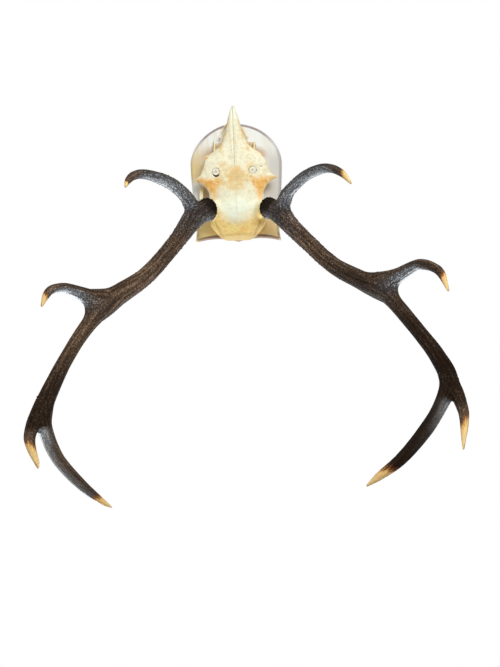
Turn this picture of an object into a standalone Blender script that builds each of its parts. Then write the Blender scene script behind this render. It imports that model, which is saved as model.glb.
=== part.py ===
"""Red deer antlers on their sawn upper skull, screwed to a wooden trophy shield.

Metres, +Z up. The trophy hangs on a wall, the plane y = 0, and stands out from it along -Y. The
origin is the middle of the shield's flat back. The nose points down, the antlers rise, and +X is
the animal's own left. Lists of places are in millimetres: (x, distance from the wall, z, radius).
"""

import math

import bmesh
import bpy
import numpy as np
from mathutils import Matrix

MM = 0.001
TOUCHING_GAP = 0.4 * MM

SHIELD_HALF_WIDTH = 100 * MM
SHIELD_TOP_HALF_WIDTH = 95 * MM
SHIELD_WAIST_HALF_WIDTH = 91 * MM
SHIELD_WAIST_Z = 104 * MM
SHIELD_SPRINGING_Z = -40 * MM
SHIELD_ARCH_HEIGHT = 91 * MM
SHIELD_ARCH_POWER = 1.75
SHIELD_TOP_Z = 123.5 * MM
SHIELD_TOP_RISE = 7 * MM
SHIELD_THICKNESS = 20 * MM
SHIELD_ARCH_SPANS = 14
SHIELD_TOP_SPANS = 8
SHIELD_FLARE = 1 * MM
# Inset from the outline, distance from the wall
SHIELD_EDGE_PROFILE_MM = ((0, 0), (0, 13), (1.5, 17), (4, 19.3), (8, 20))
HANGER_HOLE_RADIUS = 5 * MM
HANGER_SLOT_RADIUS = 2.5 * MM
HANGER_HOLE_Z = 84 * MM
HANGER_SLOT_TOP_Z = 100 * MM
HANGER_DEPTH = 9 * MM
HANGER_HOLE_SPANS = 12
HANGER_SLOT_SPANS = 6

SAW_PLANE = SHIELD_THICKNESS + TOUCHING_GAP
SKULL_CENTRE_X_MM = 2.0
SKULL_SLANT = 0.006
SKULL_LEAN_DEGREES = -0.8
# z, half-width of the roof, height of the roof above the saw cut, height of its edge, half-width
# at the saw cut
SKULL_STATIONS_MM = (
    (-166, 2, 13, 9, 1.5),
    (-150, 8, 17, 12, 6),
    (-132, 13, 22, 14, 11),
    (-117, 16, 27, 17, 16),
    (-105, 19, 32, 19, 19),
    (-92, 24, 37, 23, 25),
    (-87, 26, 40, 25, 28),
    (-84, 27, 41, 26, 46),
    (-76, 30, 44, 29, 48),
    (-64, 40, 48, 34, 51),
    (-53, 55, 51, 38, 57),
    (-41, 64, 54, 41, 57),
    (-20, 71, 58, 44, 58),
    (-7, 77, 60, 43, 64),
    (0, 87, 61, 38, 72),
    (8, 79, 62, 41, 66),
    (17, 68, 63, 44, 53),
    (30, 60, 65, 45, 44),
    (46, 59, 66, 43, 42),
    (70, 58, 67, 38, 43),
    (88, 60, 64, 31, 50),
    (100, 59, 58, 26, 54),
    (112, 51, 48, 20, 48),
    (124, 40, 34, 13, 38),
    (131, 30, 17, 6, 29),
)
SKULL_ROOF_POINTS = 7
SKULL_WALL_POINTS = 3
HOLLOW_SEGMENTS = 14
HOLLOW_RINGS = 9
ORBIT_CENTRE_MM = (73, -21, 15)
ORBIT_SIZE_MM = (33, 21, 22)
TEMPLE_CENTRE_MM = (74, 40, 14)
TEMPLE_SIZE_MM = (30, 25, 20)
FACE_OPENING_CENTRE_MM = (38.5, -73, 10)
FACE_OPENING_SIZE_MM = (5.5, 11, 40)
CHEEK_STUMP_MM = ((70, 4), (79, 4), (84, 43), (76, 43))
CHEEK_STUMP_HEIGHT = 22 * MM
NOSE_SPLINT_MM = ((15.5, -119), (17, -120), (32, -88), (27, -84))
NOSE_SPLINT_HEIGHT = 11 * MM

SCREW_PLACES_MM = {"left_screw": (44, -12), "right_screw": (-35, -13)}
SCREW_SEAT = 71 * MM
SCREW_HEAD_RADIUS = 7.6 * MM
SCREW_HEAD_HEIGHT = 3.2 * MM
SCREW_HOLE_RADIUS = 9 * MM
SCREW_HOLE_RISE = 1 * MM
SCREW_HOLE_DEPTH = 30 * MM
HOLE_SIDES = 12
HEAD_HOLE_SIDES = 20
SCREW_SIDES = 16
SCREW_SHANK_RADIUS = 2.2 * MM
SCREW_SHANK_CLEARANCE = 0.5 * MM
SCREW_TIP = 9 * MM
SCREW_TIP_RADIUS = 0.4 * MM
SCREW_POINT_LENGTH = 5 * MM
PILOT_HOLE_END = 7 * MM
SCREW_CROSS_WIDTH = 1.8 * MM
SCREW_CROSS_LENGTH = 8 * MM
SCREW_CROSS_DEPTH = 1.6 * MM

BURR_PLACE = 6 * MM
BURR_RINGS = (0, 0.5, 1, 1.6, 2.4, 4)
BURR_WIDTH = 4.5 * MM
BURR_FLARE = 4.6 * MM
BURR_BEAD = 1.3 * MM
GUTTER_DEPTH = 0.6 * MM
GUTTER_START = 16 * MM
BEAM_SIDES = 24
UPPER_SIDES = 12
TINE_SIDES = 12
BEAM_STEP = 23 * MM
TINE_STEP = 15 * MM

LEFT_BEAM_MM = (
    (61, 98, 73, 19), (70, 113, 76, 21.5), (79, 127, 83, 22), (92, 141, 95, 22),
    (106, 157, 116, 19), (130, 181, 153, 17), (183, 230, 217, 17), (241, 280, 260, 19),
    (283, 315, 310, 14), (318, 344, 370, 13), (347, 369, 431, 15.5), (356, 379, 462, 16),
    (350, 388, 493, 13), (328, 397, 542, 11), (291, 401, 587, 10), (254, 398, 620, 8),
    (238, 396, 631, 2),
)
LEFT_BROW_MM = (
    (83, 124, 84, 16), (96, 142, 67, 15), (104, 158, 56, 14), (117, 184, 43, 12.5),
    (135, 213, 32, 12), (157, 245, 27, 10.5), (177, 274, 27, 9), (191, 296, 34, 8),
    (199, 313, 46, 6), (202, 328, 60, 2),
)
LEFT_TRAY_MM = (
    (250, 284, 270, 14), (265, 303, 261, 13.5), (278, 322, 254, 12), (302, 362, 247, 10),
    (313, 384, 244, 8.5), (325, 409, 248, 7.5), (331, 427, 258, 5.5), (333, 446, 275, 2),
)
LEFT_FRONT_MM = (
    (358, 378, 453, 13), (368, 392, 476, 11.5), (372, 410, 495, 10), (368, 428, 508, 9),
    (358, 450, 522, 7), (346, 472, 536, 4.5), (340, 486, 544, 1.7),
)
RIGHT_BEAM_MM = (
    (-63, 98, 75, 17), (-71, 113, 78, 19.5), (-81, 127, 86, 20.5), (-93, 141, 99, 20.5),
    (-106, 157, 119, 18), (-138, 181, 158, 16), (-182, 226, 209, 15.5), (-234, 276, 246, 18),
    (-281, 312, 289, 15), (-321, 340, 347, 13), (-360, 363, 411, 15), (-365, 370, 437, 16),
    (-345, 384, 478, 12.5), (-313, 395, 523, 12), (-269, 400, 567, 10.5),
    (-232, 399, 594, 7), (-209, 396, 610, 2),
)
RIGHT_BROW_MM = (
    (-82, 124, 87, 16), (-95, 142, 71, 14.5), (-104, 162, 54, 12.5), (-119, 188, 41, 11),
    (-135, 215, 32, 10.5), (-151, 240, 28, 10), (-168, 262, 27, 9.5), (-183, 283, 33, 8),
    (-196, 301, 44, 7), (-204, 315, 56, 5), (-211, 328, 70, 2),
)
RIGHT_TRAY_MM = (
    (-252, 290, 263, 14), (-268, 303, 257, 13.5), (-292, 332, 241, 11.5), (-315, 368, 228, 9.5),
    (-326, 386, 228, 9), (-337, 406, 235, 8), (-344, 424, 248, 6.5), (-349, 447, 279, 2),
)
RIGHT_FRONT_MM = (
    (-364, 372, 440, 13), (-373, 382, 454, 11.5), (-379, 410, 483, 9.5), (-375, 428, 498, 8),
    (-370, 446, 512, 6.5), (-363, 466, 527, 4), (-357, 485, 541, 1.7),
)
# Lengths along the beam from the burr to where the tray tine and the top fork have parted from it
ANTLERS = {
    "left": (LEFT_BEAM_MM, LEFT_BROW_MM, LEFT_TRAY_MM, LEFT_FRONT_MM, 352 * MM, 602 * MM),
    "right": (RIGHT_BEAM_MM, RIGHT_BROW_MM, RIGHT_TRAY_MM, RIGHT_FRONT_MM, 372 * MM, 590 * MM),
}
PEDICLE_ROOT_MM = (42, 58, 67, 21)
PEDICLE_WAIST_MM = (51, 76, 70, 18)
PEDICLE_NECK_MM = 6
PEDICLE_NECK_RADIUS_MM = 18
PEDICLE_END_RADIUS_MM = 18.5
PEDICLE_SIDES = 20
PEDICLE_STEP = 9 * MM


def clear_scene():
    for obj in list(bpy.data.objects):
        bpy.data.objects.remove(obj, do_unlink=True)


def principled(name, colour, roughness, metallic=0.0):
    material = bpy.data.materials.new(name)
    material.use_nodes = True
    shader = material.node_tree.nodes["Principled BSDF"]
    shader.inputs["Base Color"].default_value = (*colour, 1.0)
    shader.inputs["Roughness"].default_value = roughness
    shader.inputs["Metallic"].default_value = metallic
    return material


def add_object(name, bm, material, sharp_degrees=50):
    """The bmesh as an object with outward faces, shaded smooth up to an angle."""
    bmesh.ops.recalc_face_normals(bm, faces=bm.faces)
    mesh = bpy.data.meshes.new(name)
    bm.to_mesh(mesh)
    bm.free()
    mesh.shade_smooth()
    mesh.set_sharp_from_angle(angle=math.radians(sharp_degrees))
    if material:
        mesh.materials.append(material)
    obj = bpy.data.objects.new(name, mesh)
    bpy.context.scene.collection.objects.link(obj)
    return obj


def helper(name, bm):
    """A body that only cuts or joins another."""
    obj = add_object(name, bm, None)
    lean(obj)
    obj.hide_render = True
    obj.display_type = "WIRE"
    return obj


def lean(obj):
    """Skull and antlers are screwed on a little askew of the upright shield."""
    obj.rotation_euler.y = math.radians(SKULL_LEAN_DEGREES)
    return obj


def combine(obj, other, operation):
    modifier = obj.modifiers.new(other.name, "BOOLEAN")
    modifier.operation = operation
    modifier.solver = "EXACT"
    modifier.object = other


def bridge(bm, rings):
    """Closes a row of equally long vertex rings into one body."""
    for first, second in zip(rings, rings[1:]):
        for i in range(len(first)):
            j = (i + 1) % len(first)
            bm.faces.new((first[i], first[j], second[j], second[i]))
    bm.faces.new(rings[0])
    bm.faces.new(rings[-1])


def through(points, t):
    """A value on the Catmull-Rom curve through the rows of points, t counted in rows."""
    points = np.asarray(points, float)
    i = min(int(t), len(points) - 2)
    f = t - i
    before = points[i - 1] if i > 0 else 2 * points[0] - points[1]
    after = points[i + 2] if i + 2 < len(points) else 2 * points[-1] - points[-2]
    here, there = points[i], points[i + 1]
    return 0.5 * (
        2 * here + (there - before) * f
        + (2 * before - 5 * here + 4 * there - after) * f**2
        + (3 * here - before - 3 * there + after) * f**3
    )


class Stem:
    """The centre line of a beam or tine, with its radius, read by length from its root."""

    def __init__(self, places_mm, samples_per_span=20):
        steps = np.linspace(0, len(places_mm) - 1, (len(places_mm) - 1) * samples_per_span + 1)
        rows = np.array([through(places_mm, t) for t in steps]) * MM
        self.points = np.stack([rows[:, 0], -rows[:, 1], rows[:, 2]], axis=1)
        self.radii = rows[:, 3]
        spans = np.linalg.norm(np.diff(self.points, axis=0), axis=1)
        self.lengths = np.concatenate([[0.0], np.cumsum(spans)])
        self.length = self.lengths[-1]
        tangents = np.gradient(self.points, self.lengths, axis=0)
        self.tangents = tangents / np.linalg.norm(tangents, axis=1)[:, None]
        normal = np.cross(self.tangents[0], (0.0, 0.0, 1.0))
        normals = []
        for tangent in self.tangents:
            normal = normal - tangent * normal.dot(tangent)
            normal = normal / np.linalg.norm(normal)
            normals.append(normal)
        self.normals = np.array(normals)

    def read(self, values, s):
        if values.ndim == 1:
            return np.interp(s, self.lengths, values)
        return np.array([np.interp(s, self.lengths, column) for column in values.T])

    def ring(self, bm, s, sides, extra):
        """A ring of vertices round the stem at length s; extra gives each side's added radius."""
        centre = self.read(self.points, s)
        tangent = self.read(self.tangents, s)
        tangent /= np.linalg.norm(tangent)
        across = self.read(self.normals, s)
        across -= tangent * across.dot(tangent)
        across /= np.linalg.norm(across)
        up = np.cross(tangent, across)
        radius = self.read(self.radii, s)
        ring = []
        for i in range(sides):
            angle = math.tau * i / sides
            reach = radius + extra(s, i)
            ring.append(bm.verts.new(centre + reach * (math.cos(angle) * across + math.sin(angle) * up)))
        return ring


def burr_shape(s):
    return math.exp(-(((s - BURR_PLACE) / BURR_WIDTH) ** 2))


def beam_surface(s, i):
    """The beaded burr and, above it, the lengthwise gutters, every second side raised."""
    raised = 1 if i % 2 == 0 else -1
    burr = burr_shape(s)
    gutter = GUTTER_DEPTH if s > GUTTER_START else 0.0
    return BURR_FLARE * burr + raised * (BURR_BEAD * burr + gutter)


def tine_surface(s, i):
    return GUTTER_DEPTH / 2 * (1 if i % 2 == 0 else -1)


def clearance_surface(s, i):
    """The beam with a smooth skin that clears its beads and ridges."""
    return (BURR_FLARE + BURR_BEAD) * burr_shape(s) + GUTTER_DEPTH + TOUCHING_GAP


def tube(stem, places, sides, surface):
    bm = bmesh.new()
    bridge(bm, [stem.ring(bm, s, sides, surface) for s in places])
    return bm


def spaced(start, stop, step):
    return list(np.linspace(start, stop, max(2, round((stop - start) / step) + 1)))


def tip_places(start, stop, step):
    """Lengths along a stem that crowd towards its tip."""
    count = max(3, round((stop - start) / step) + 1)
    return [start + (stop - start) * (1 - (1 - k / count) ** 1.25) for k in range(count + 1)]


def antler(side, material):
    beam_mm, brow_mm, tray_mm, front_mm, tray_fork, top_fork = ANTLERS[side]
    beam = Stem(beam_mm)
    burr_places = [share * BURR_PLACE for share in BURR_RINGS]
    lower = burr_places[:-1] + spaced(burr_places[-1], tray_fork, BEAM_STEP)
    upper = spaced(tray_fork + TOUCHING_GAP, top_fork, BEAM_STEP)
    rear = tip_places(top_fork + TOUCHING_GAP, beam.length, BEAM_STEP)
    for name, places, sides, surface in (
        ("beam_lower", lower, BEAM_SIDES, beam_surface),
        ("beam_upper", upper, UPPER_SIDES, tine_surface),
        ("top_rear_tine", rear, UPPER_SIDES, tine_surface),
    ):
        lean(add_object(f"{side}_{name}", tube(beam, places, sides, surface), material))
    clear = tube(beam, lower + upper[1:] + rear[1:], BEAM_SIDES, clearance_surface)
    clearance = helper(f"{side}_beam_clearance", clear)
    tines = {"brow_tine": brow_mm, "tray_tine": tray_mm, "top_front_tine": front_mm}
    for name, places_mm in tines.items():
        stem = Stem(places_mm)
        bm = tube(stem, tip_places(0.0, stem.length, TINE_STEP), TINE_SIDES, tine_surface)
        tine = lean(add_object(f"{side}_{name}", bm, material))
        combine(tine, clearance, "DIFFERENCE")


def skull_section(z_mm):
    """One loop across the skull, looking along it: from the crest round by the saw cut."""
    rows = np.array(SKULL_STATIONS_MM, float)
    t = np.interp(z_mm, rows[:, 0], np.arange(len(rows)))
    roof, crest, edge, foot = np.clip(through(rows, t)[1:], 0.8, None)
    half = []
    for k in range(SKULL_ROOF_POINTS):
        angle = math.pi / 2 * k / (SKULL_ROOF_POINTS - 1)
        half.append((roof * math.sin(angle), edge + (crest - edge) * math.cos(angle)))
    for k in range(SKULL_WALL_POINTS):
        f = 1 - (k + 1) / SKULL_WALL_POINTS
        half.append((foot + (roof - foot) * f**1.5, edge * f))
    other = [(-x, height) for x, height in reversed(half[1:])]
    centre = SKULL_CENTRE_X_MM - SKULL_SLANT * z_mm
    loop = [(centre + x, height) for x, height in half + other]
    return [(x * MM, -SAW_PLANE - height * MM, z_mm * MM) for x, height in loop]


def beside(x_mm, z_mm):
    """Where a place x_mm to the side of the skull's slanting middle line lies, in metres."""
    return (x_mm + SKULL_CENTRE_X_MM - SKULL_SLANT * z_mm) * MM


def ellipsoid(centre_mm, size_mm):
    """centre is (x, z, height above the saw cut) and size is along the same three."""
    bm = bmesh.new()
    x, z, height = beside(*centre_mm[:2]), centre_mm[1] * MM, centre_mm[2] * MM
    sx, sz, sh = (value * MM for value in size_mm)
    place = Matrix.Translation((x, -SAW_PLANE - height, z))
    bmesh.ops.create_uvsphere(
        bm, u_segments=HOLLOW_SEGMENTS, v_segments=HOLLOW_RINGS, radius=1.0,
        matrix=place @ Matrix.Diagonal((sx, sh, sz, 1.0)),
    )
    return bm


def rod(x, z, near, far, radius, segments):
    """A round bar along Y between two distances from the wall."""
    bm = bmesh.new()
    place = Matrix.Translation((x, -(near + far) / 2, z)) @ Matrix.Rotation(math.pi / 2, 4, "X")
    bmesh.ops.create_cone(
        bm, cap_ends=True, segments=segments, radius1=radius, radius2=radius,
        depth=far - near, matrix=place,
    )
    return bm


def prism(outline, near, far):
    """An outline of (x, z) points, drawn out between two distances from the wall."""
    bm = bmesh.new()
    bridge(bm, [[bm.verts.new((x, -y, z)) for x, z in outline] for y in (near, far)])
    return bm


def pedicle(side):
    """The bone stalk that carries an antler, from inside the skull to just under the burr."""
    sign = 1 if side == "left" else -1
    beam_mm = ANTLERS[side][0]
    root, waist = (
        (sign * x + SKULL_CENTRE_X_MM, out, z, r)
        for x, out, z, r in (PEDICLE_ROOT_MM, PEDICLE_WAIST_MM)
    )
    direction = Stem(beam_mm).tangents[0] * (1, -1, 1)
    end = np.array(beam_mm[0][:3]) - direction * TOUCHING_GAP / MM
    neck = end - direction * PEDICLE_NECK_MM
    stalk = Stem((root, waist, (*neck, PEDICLE_NECK_RADIUS_MM), (*end, PEDICLE_END_RADIUS_MM)))
    places = spaced(0.0, stalk.length, PEDICLE_STEP)
    return helper(f"{side}_pedicle", tube(stalk, places, PEDICLE_SIDES, lambda s, i: 0.0))


def skull(material):
    rows = [row[0] for row in SKULL_STATIONS_MM]
    wide = [(a + b) / 2 for a, b in zip(rows, rows[1:]) if b - a > 12]
    bm = bmesh.new()
    bridge(bm, [[bm.verts.new(p) for p in skull_section(z)] for z in sorted(rows + wide)])
    bone = lean(add_object("skull", bm, material))
    for side in ANTLERS:
        combine(bone, pedicle(side), "UNION")
    for name, corners, sign, height in (
        ("cheek_stump", CHEEK_STUMP_MM, 1, CHEEK_STUMP_HEIGHT),
        ("left_nose_splint", NOSE_SPLINT_MM, 1, NOSE_SPLINT_HEIGHT),
        ("right_nose_splint", NOSE_SPLINT_MM, -1, NOSE_SPLINT_HEIGHT),
    ):
        outline = [(beside(sign * x, z), z * MM) for x, z in corners]
        combine(bone, helper(name, prism(outline, SAW_PLANE, SAW_PLANE + height)), "UNION")
    for side, sign in (("left", 1), ("right", -1)):
        for name, (x, z, height), size in (
            ("orbit", ORBIT_CENTRE_MM, ORBIT_SIZE_MM),
            ("temple", TEMPLE_CENTRE_MM, TEMPLE_SIZE_MM),
            ("face_opening", FACE_OPENING_CENTRE_MM, FACE_OPENING_SIZE_MM),
        ):
            hollow = ellipsoid((sign * x, z, height), size)
            combine(bone, helper(f"{side}_{name}", hollow), "DIFFERENCE")
    for name, (x, z) in SCREW_PLACES_MM.items():
        centre_z = z * MM + SCREW_HOLE_RISE
        hole_end = SCREW_SEAT + SCREW_HOLE_DEPTH
        head = rod(x * MM, centre_z, SCREW_SEAT, hole_end, SCREW_HOLE_RADIUS, HEAD_HOLE_SIDES)
        combine(bone, helper(f"{name}_head_hole", head), "DIFFERENCE")
        radius = SCREW_SHANK_RADIUS + SCREW_SHANK_CLEARANCE
        shank = rod(x * MM, z * MM, SAW_PLANE - MM, SCREW_SEAT + MM, radius, HOLE_SIDES)
        combine(bone, helper(f"{name}_shank_hole", shank), "DIFFERENCE")


def shield_outline():
    """(x, z) points round the shield: a blunt pointed arch below, flared corners above."""
    half = []
    for k in range(SHIELD_ARCH_SPANS + 1):
        x = SHIELD_HALF_WIDTH * math.sin(math.pi / 2 * k / SHIELD_ARCH_SPANS)
        fall = (1 - (x / SHIELD_HALF_WIDTH) ** SHIELD_ARCH_POWER) ** (1 / SHIELD_ARCH_POWER)
        half.append((x, SHIELD_SPRINGING_Z - SHIELD_ARCH_HEIGHT * fall))
    for f in (0.35, 0.7, 1.0):
        x = SHIELD_HALF_WIDTH + (SHIELD_WAIST_HALF_WIDTH - SHIELD_HALF_WIDTH) * f**1.4
        half.append((x, SHIELD_SPRINGING_Z + (SHIELD_WAIST_Z - SHIELD_SPRINGING_Z) * f))
    corner_z = SHIELD_TOP_Z + SHIELD_TOP_RISE
    half.append((SHIELD_WAIST_HALF_WIDTH + SHIELD_FLARE, (SHIELD_WAIST_Z + corner_z) / 2))
    for k in range(SHIELD_TOP_SPANS + 1):
        u = 1 - k / SHIELD_TOP_SPANS
        half.append((SHIELD_TOP_HALF_WIDTH * u, SHIELD_TOP_Z + SHIELD_TOP_RISE * (2 * u - 1) ** 2))
    return half + [(-x, z) for x, z in reversed(half[1:-1])]


def inset_outline(outline, distance):
    """The outline moved inwards along each corner's own direction."""
    points = np.array(outline)
    back = points - np.roll(points, 1, axis=0)
    ahead = np.roll(points, -1, axis=0) - points
    back /= np.linalg.norm(back, axis=1)[:, None]
    ahead /= np.linalg.norm(ahead, axis=1)[:, None]
    along = back + ahead
    along /= np.linalg.norm(along, axis=1)[:, None]
    inward = np.stack([-along[:, 1], along[:, 0]], axis=1)
    slant = np.sum(inward * np.stack([-back[:, 1], back[:, 0]], axis=1), axis=1)
    return points + inward * (distance / np.clip(slant, 0.5, 1.0))[:, None]


def shield(material):
    outline = shield_outline()
    bm = bmesh.new()
    rings = []
    for inset, out in SHIELD_EDGE_PROFILE_MM:
        moved = inset_outline(outline, inset * MM)
        rings.append([bm.verts.new((x, -out * MM, z)) for x, z in moved])
    bridge(bm, rings)
    board = add_object("shield", bm, material, 35)
    for name, (x, z) in SCREW_PLACES_MM.items():
        radius = SCREW_SHANK_RADIUS + SCREW_SHANK_CLEARANCE
        pilot = rod(x * MM, z * MM, PILOT_HOLE_END, SHIELD_THICKNESS + MM, radius, HOLE_SIDES)
        combine(board, helper(f"{name}_pilot_hole", pilot), "DIFFERENCE")
    keyhole = []
    turn = math.asin(HANGER_SLOT_RADIUS / HANGER_HOLE_RADIUS)
    for k in range(HANGER_HOLE_SPANS + 1):
        angle = math.pi / 2 + turn + (math.tau - 2 * turn) * k / HANGER_HOLE_SPANS
        x = HANGER_HOLE_RADIUS * math.cos(angle)
        keyhole.append((x, HANGER_HOLE_Z + HANGER_HOLE_RADIUS * math.sin(angle)))
    for k in range(HANGER_SLOT_SPANS + 1):
        angle = math.pi * k / HANGER_SLOT_SPANS
        x = HANGER_SLOT_RADIUS * math.cos(angle)
        keyhole.append((x, HANGER_SLOT_TOP_Z + HANGER_SLOT_RADIUS * math.sin(angle)))
    combine(board, helper("hanger_slot", prism(keyhole, -1 * MM, HANGER_DEPTH)), "DIFFERENCE")


def screw(name, material):
    """A pan-head screw: domed head with a cross recess, and its shank into the shield."""
    x, z = (value * MM for value in SCREW_PLACES_MM[name])
    seat = SCREW_SEAT + TOUCHING_GAP
    profile = (
        (SCREW_TIP, SCREW_TIP_RADIUS), (SCREW_TIP + SCREW_POINT_LENGTH, SCREW_SHANK_RADIUS),
        (seat, SCREW_SHANK_RADIUS),
        (seat, SCREW_HEAD_RADIUS), (seat + 0.4 * SCREW_HEAD_HEIGHT, SCREW_HEAD_RADIUS),
        (seat + 0.8 * SCREW_HEAD_HEIGHT, 0.78 * SCREW_HEAD_RADIUS),
        (seat + SCREW_HEAD_HEIGHT, 0.4 * SCREW_HEAD_RADIUS),
    )
    bm = bmesh.new()
    rings = []
    for out, radius in profile:
        angles = [math.tau * k / SCREW_SIDES for k in range(SCREW_SIDES)]
        ring = [(x + radius * math.cos(a), -out, z + radius * math.sin(a)) for a in angles]
        rings.append([bm.verts.new(p) for p in ring])
    bridge(bm, rings)
    body = lean(add_object(name, bm, material, 30))
    floor = seat + SCREW_HEAD_HEIGHT - SCREW_CROSS_DEPTH
    wide, thin = SCREW_CROSS_LENGTH / 2, SCREW_CROSS_WIDTH / 2
    cross = [(thin, wide), (thin, thin), (wide, thin), (wide, -thin), (thin, -thin), (thin, -wide)]
    cross += [(-a, -b) for a, b in cross]
    cutter = prism([(x + a, z + b) for a, b in cross], floor, floor + 2 * SCREW_CROSS_DEPTH)
    combine(body, helper(f"{name}_cross", cutter), "DIFFERENCE")


def build():
    clear_scene()
    shield(principled("limed_wood", (0.78, 0.72, 0.60), 0.55))
    skull(principled("bleached_bone", (0.86, 0.78, 0.58), 0.6))
    for side in ANTLERS:
        antler(side, principled(f"{side}_antler_bone", (0.09, 0.065, 0.05), 0.6))
    for name in SCREW_PLACES_MM:
        screw(name, principled(f"{name}_steel", (0.72, 0.72, 0.70), 0.3, 1.0))


build()
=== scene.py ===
"""Red deer antlers on their skull and trophy shield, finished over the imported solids.

Metres, +Z up. The wall is the plane y = 0 and the trophy stands out from it along -Y, nose down.
Lists of places are in millimetres: (x, distance from the wall, z, radius).
"""

import math

import bmesh
import bpy
import numpy as np
from bpy.props import FloatProperty, FloatVectorProperty, PointerProperty
from mathutils import Matrix, Vector


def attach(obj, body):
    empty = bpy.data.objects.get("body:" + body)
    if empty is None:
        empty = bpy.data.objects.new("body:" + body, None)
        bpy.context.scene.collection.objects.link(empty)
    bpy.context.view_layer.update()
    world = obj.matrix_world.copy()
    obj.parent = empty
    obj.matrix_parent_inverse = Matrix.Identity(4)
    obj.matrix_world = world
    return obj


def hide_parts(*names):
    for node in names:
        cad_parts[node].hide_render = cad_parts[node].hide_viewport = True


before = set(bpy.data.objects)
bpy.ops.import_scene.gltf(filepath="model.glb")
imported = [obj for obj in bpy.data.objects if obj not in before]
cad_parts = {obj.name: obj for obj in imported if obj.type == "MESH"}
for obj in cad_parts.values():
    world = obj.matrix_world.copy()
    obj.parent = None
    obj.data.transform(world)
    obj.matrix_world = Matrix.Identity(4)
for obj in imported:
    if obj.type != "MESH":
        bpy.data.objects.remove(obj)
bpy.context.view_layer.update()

bl_info = {
    "name": "Red Deer Antlers on a Shield",
    "version": (1, 0, 0),
    "blender": (4, 5, 0),
    "location": "3D View > Sidebar > Trophy",
    "description": "Builds the antlers, skull, shield and screws of a wall trophy",
    "category": "Object",
}

MM = 0.001
FAR = 1.0
TURN = 2 * math.pi
# Which way along X the animal's left and right lie
SIDES = {"left": 1, "right": -1}

# Skull and antlers are screwed on a little askew of the upright shield
LEAN = Matrix.Rotation(math.radians(-0.8), 3, "Y")

# Centre lines of each antler's beam and tines, from root to tip
ANTLERS_MM = {
    "left": {
        "beam": (
            (61, 98, 73, 19), (70, 113, 76, 21.5), (79, 127, 83, 22), (92, 141, 95, 22),
            (106, 157, 116, 19), (130.5, 181, 152.5, 16.6), (183, 230, 217, 17),
            (240.4, 280, 261.8, 19.7), (282.5, 315, 309.3, 14.2), (318.8, 344, 369.6, 13),
            (347.6, 369, 431, 15.5), (356.5, 379, 462, 16.9), (351, 388, 493, 13),
            (329.2, 397, 542, 11), (291, 401, 587, 9.3), (255, 398, 620, 5.4),
            (238, 396, 632, 1.2),
        ),
        "brow": (
            (83, 124, 84, 8), (96, 142, 67, 14.5), (103, 158, 55, 13.2), (116.3, 184, 42.2, 12.5),
            (135, 213, 32, 12), (157, 245, 27, 10.5), (177, 274, 27, 9), (191, 296, 34, 8),
            (199, 313, 46, 6), (202, 328, 60, 2),
        ),
        "tray": (
            (257, 290, 267, 4), (266, 303, 263, 15.5), (281, 322, 257, 14),
            (301.8, 362, 246.3, 10), (313, 384, 244, 8.5), (325, 409, 248, 7.5),
            (330.2, 427, 258.5, 6.3), (333.5, 446, 277, 2.2),
        ),
        "front": (
            (355, 376, 444, 10), (366.5, 389, 471, 12.8), (371.5, 410, 495, 10.7),
            (368, 428, 508, 9), (358, 450, 522, 7), (346, 472, 536, 4.5), (340, 486, 544, 1.7),
        ),
    },
    "right": {
        "beam": (
            (-63, 98, 75, 17), (-71, 113, 78, 19.5), (-81, 127, 86, 20.5), (-93, 141, 99, 20.5),
            (-106, 157, 119, 18), (-138, 181, 158, 16), (-182, 226, 209, 16),
            (-231.5, 276, 246, 17.8), (-258.5, 295, 264.8, 15.6), (-282.8, 312, 288.4, 14),
            (-322, 340, 346.5, 13.4), (-350.4, 356.5, 392.3, 14.6), (-365.4, 369, 434, 16.2),
            (-346, 384, 478.5, 12.5), (-312.5, 395, 522.7, 12.2), (-269.5, 400, 567.5, 10.5),
            (-232, 399, 595, 7.4), (-209, 396, 612, 1.8),
        ),
        "brow": (
            (-82, 124, 87, 8), (-95, 142, 71, 14.5), (-104, 162, 54, 12.5),
            (-119.5, 188, 41.5, 11.2), (-135.4, 215, 32.6, 10.8), (-151, 240, 28.6, 10.4),
            (-168, 262, 27.8, 9.6), (-183, 283, 33, 8), (-196, 301, 44, 7), (-204, 315, 56, 5),
            (-211, 328, 70, 2),
        ),
        "tray": (
            (-254, 292, 254, 4), (-267, 302, 251, 15.5), (-292, 332, 241, 13),
            (-315, 368, 228, 9.5), (-326, 386, 228.7, 9.2), (-337, 406, 235, 8),
            (-346.6, 424, 248.3, 7.1), (-352, 447, 279, 2),
        ),
        "front": (
            (-363.5, 370, 428, 11.5), (-374.2, 382, 453, 12.3), (-378, 410, 483.3, 9.5),
            (-375, 428, 498, 8), (-370, 446, 512, 6.5), (-363, 466, 527, 4), (-357, 485, 541, 1.7),
        ),
    },
}
# How far the rubbed pale end of each stem reaches from its tip
PALE_TIP_MM = {
    "left": {"beam": 35, "brow": 13, "tray": 25, "front": 63},
    "right": {"beam": 52, "brow": 36, "tray": 34, "front": 66},
}
# How softly each tine grows out of the beam
FORK_BLEND_MM = {"brow": 11, "tray": 34, "front": 8}
# How far up each stem, from its root, the pearls thin out
PEARLED_MM = {"beam": 320, "brow": 190, "tray": 25, "front": 20}
# How fast one stem's relief, and its colour, give way to the next one's at a fork
RELIEF_REACH = 2.5 * MM
COLOUR_REACH = 10 * MM
# Wear and painted sheen lie on what faces up, where the light falls: how much everywhere, and how much
# more straight up
WEAR_AND_SHEEN_FACING = {"beam": (0.45, 0.7), "brow": (0.55, 0.65), "tray": (0.36, 0.9), "front": (0.5, 0.5)}
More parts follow.
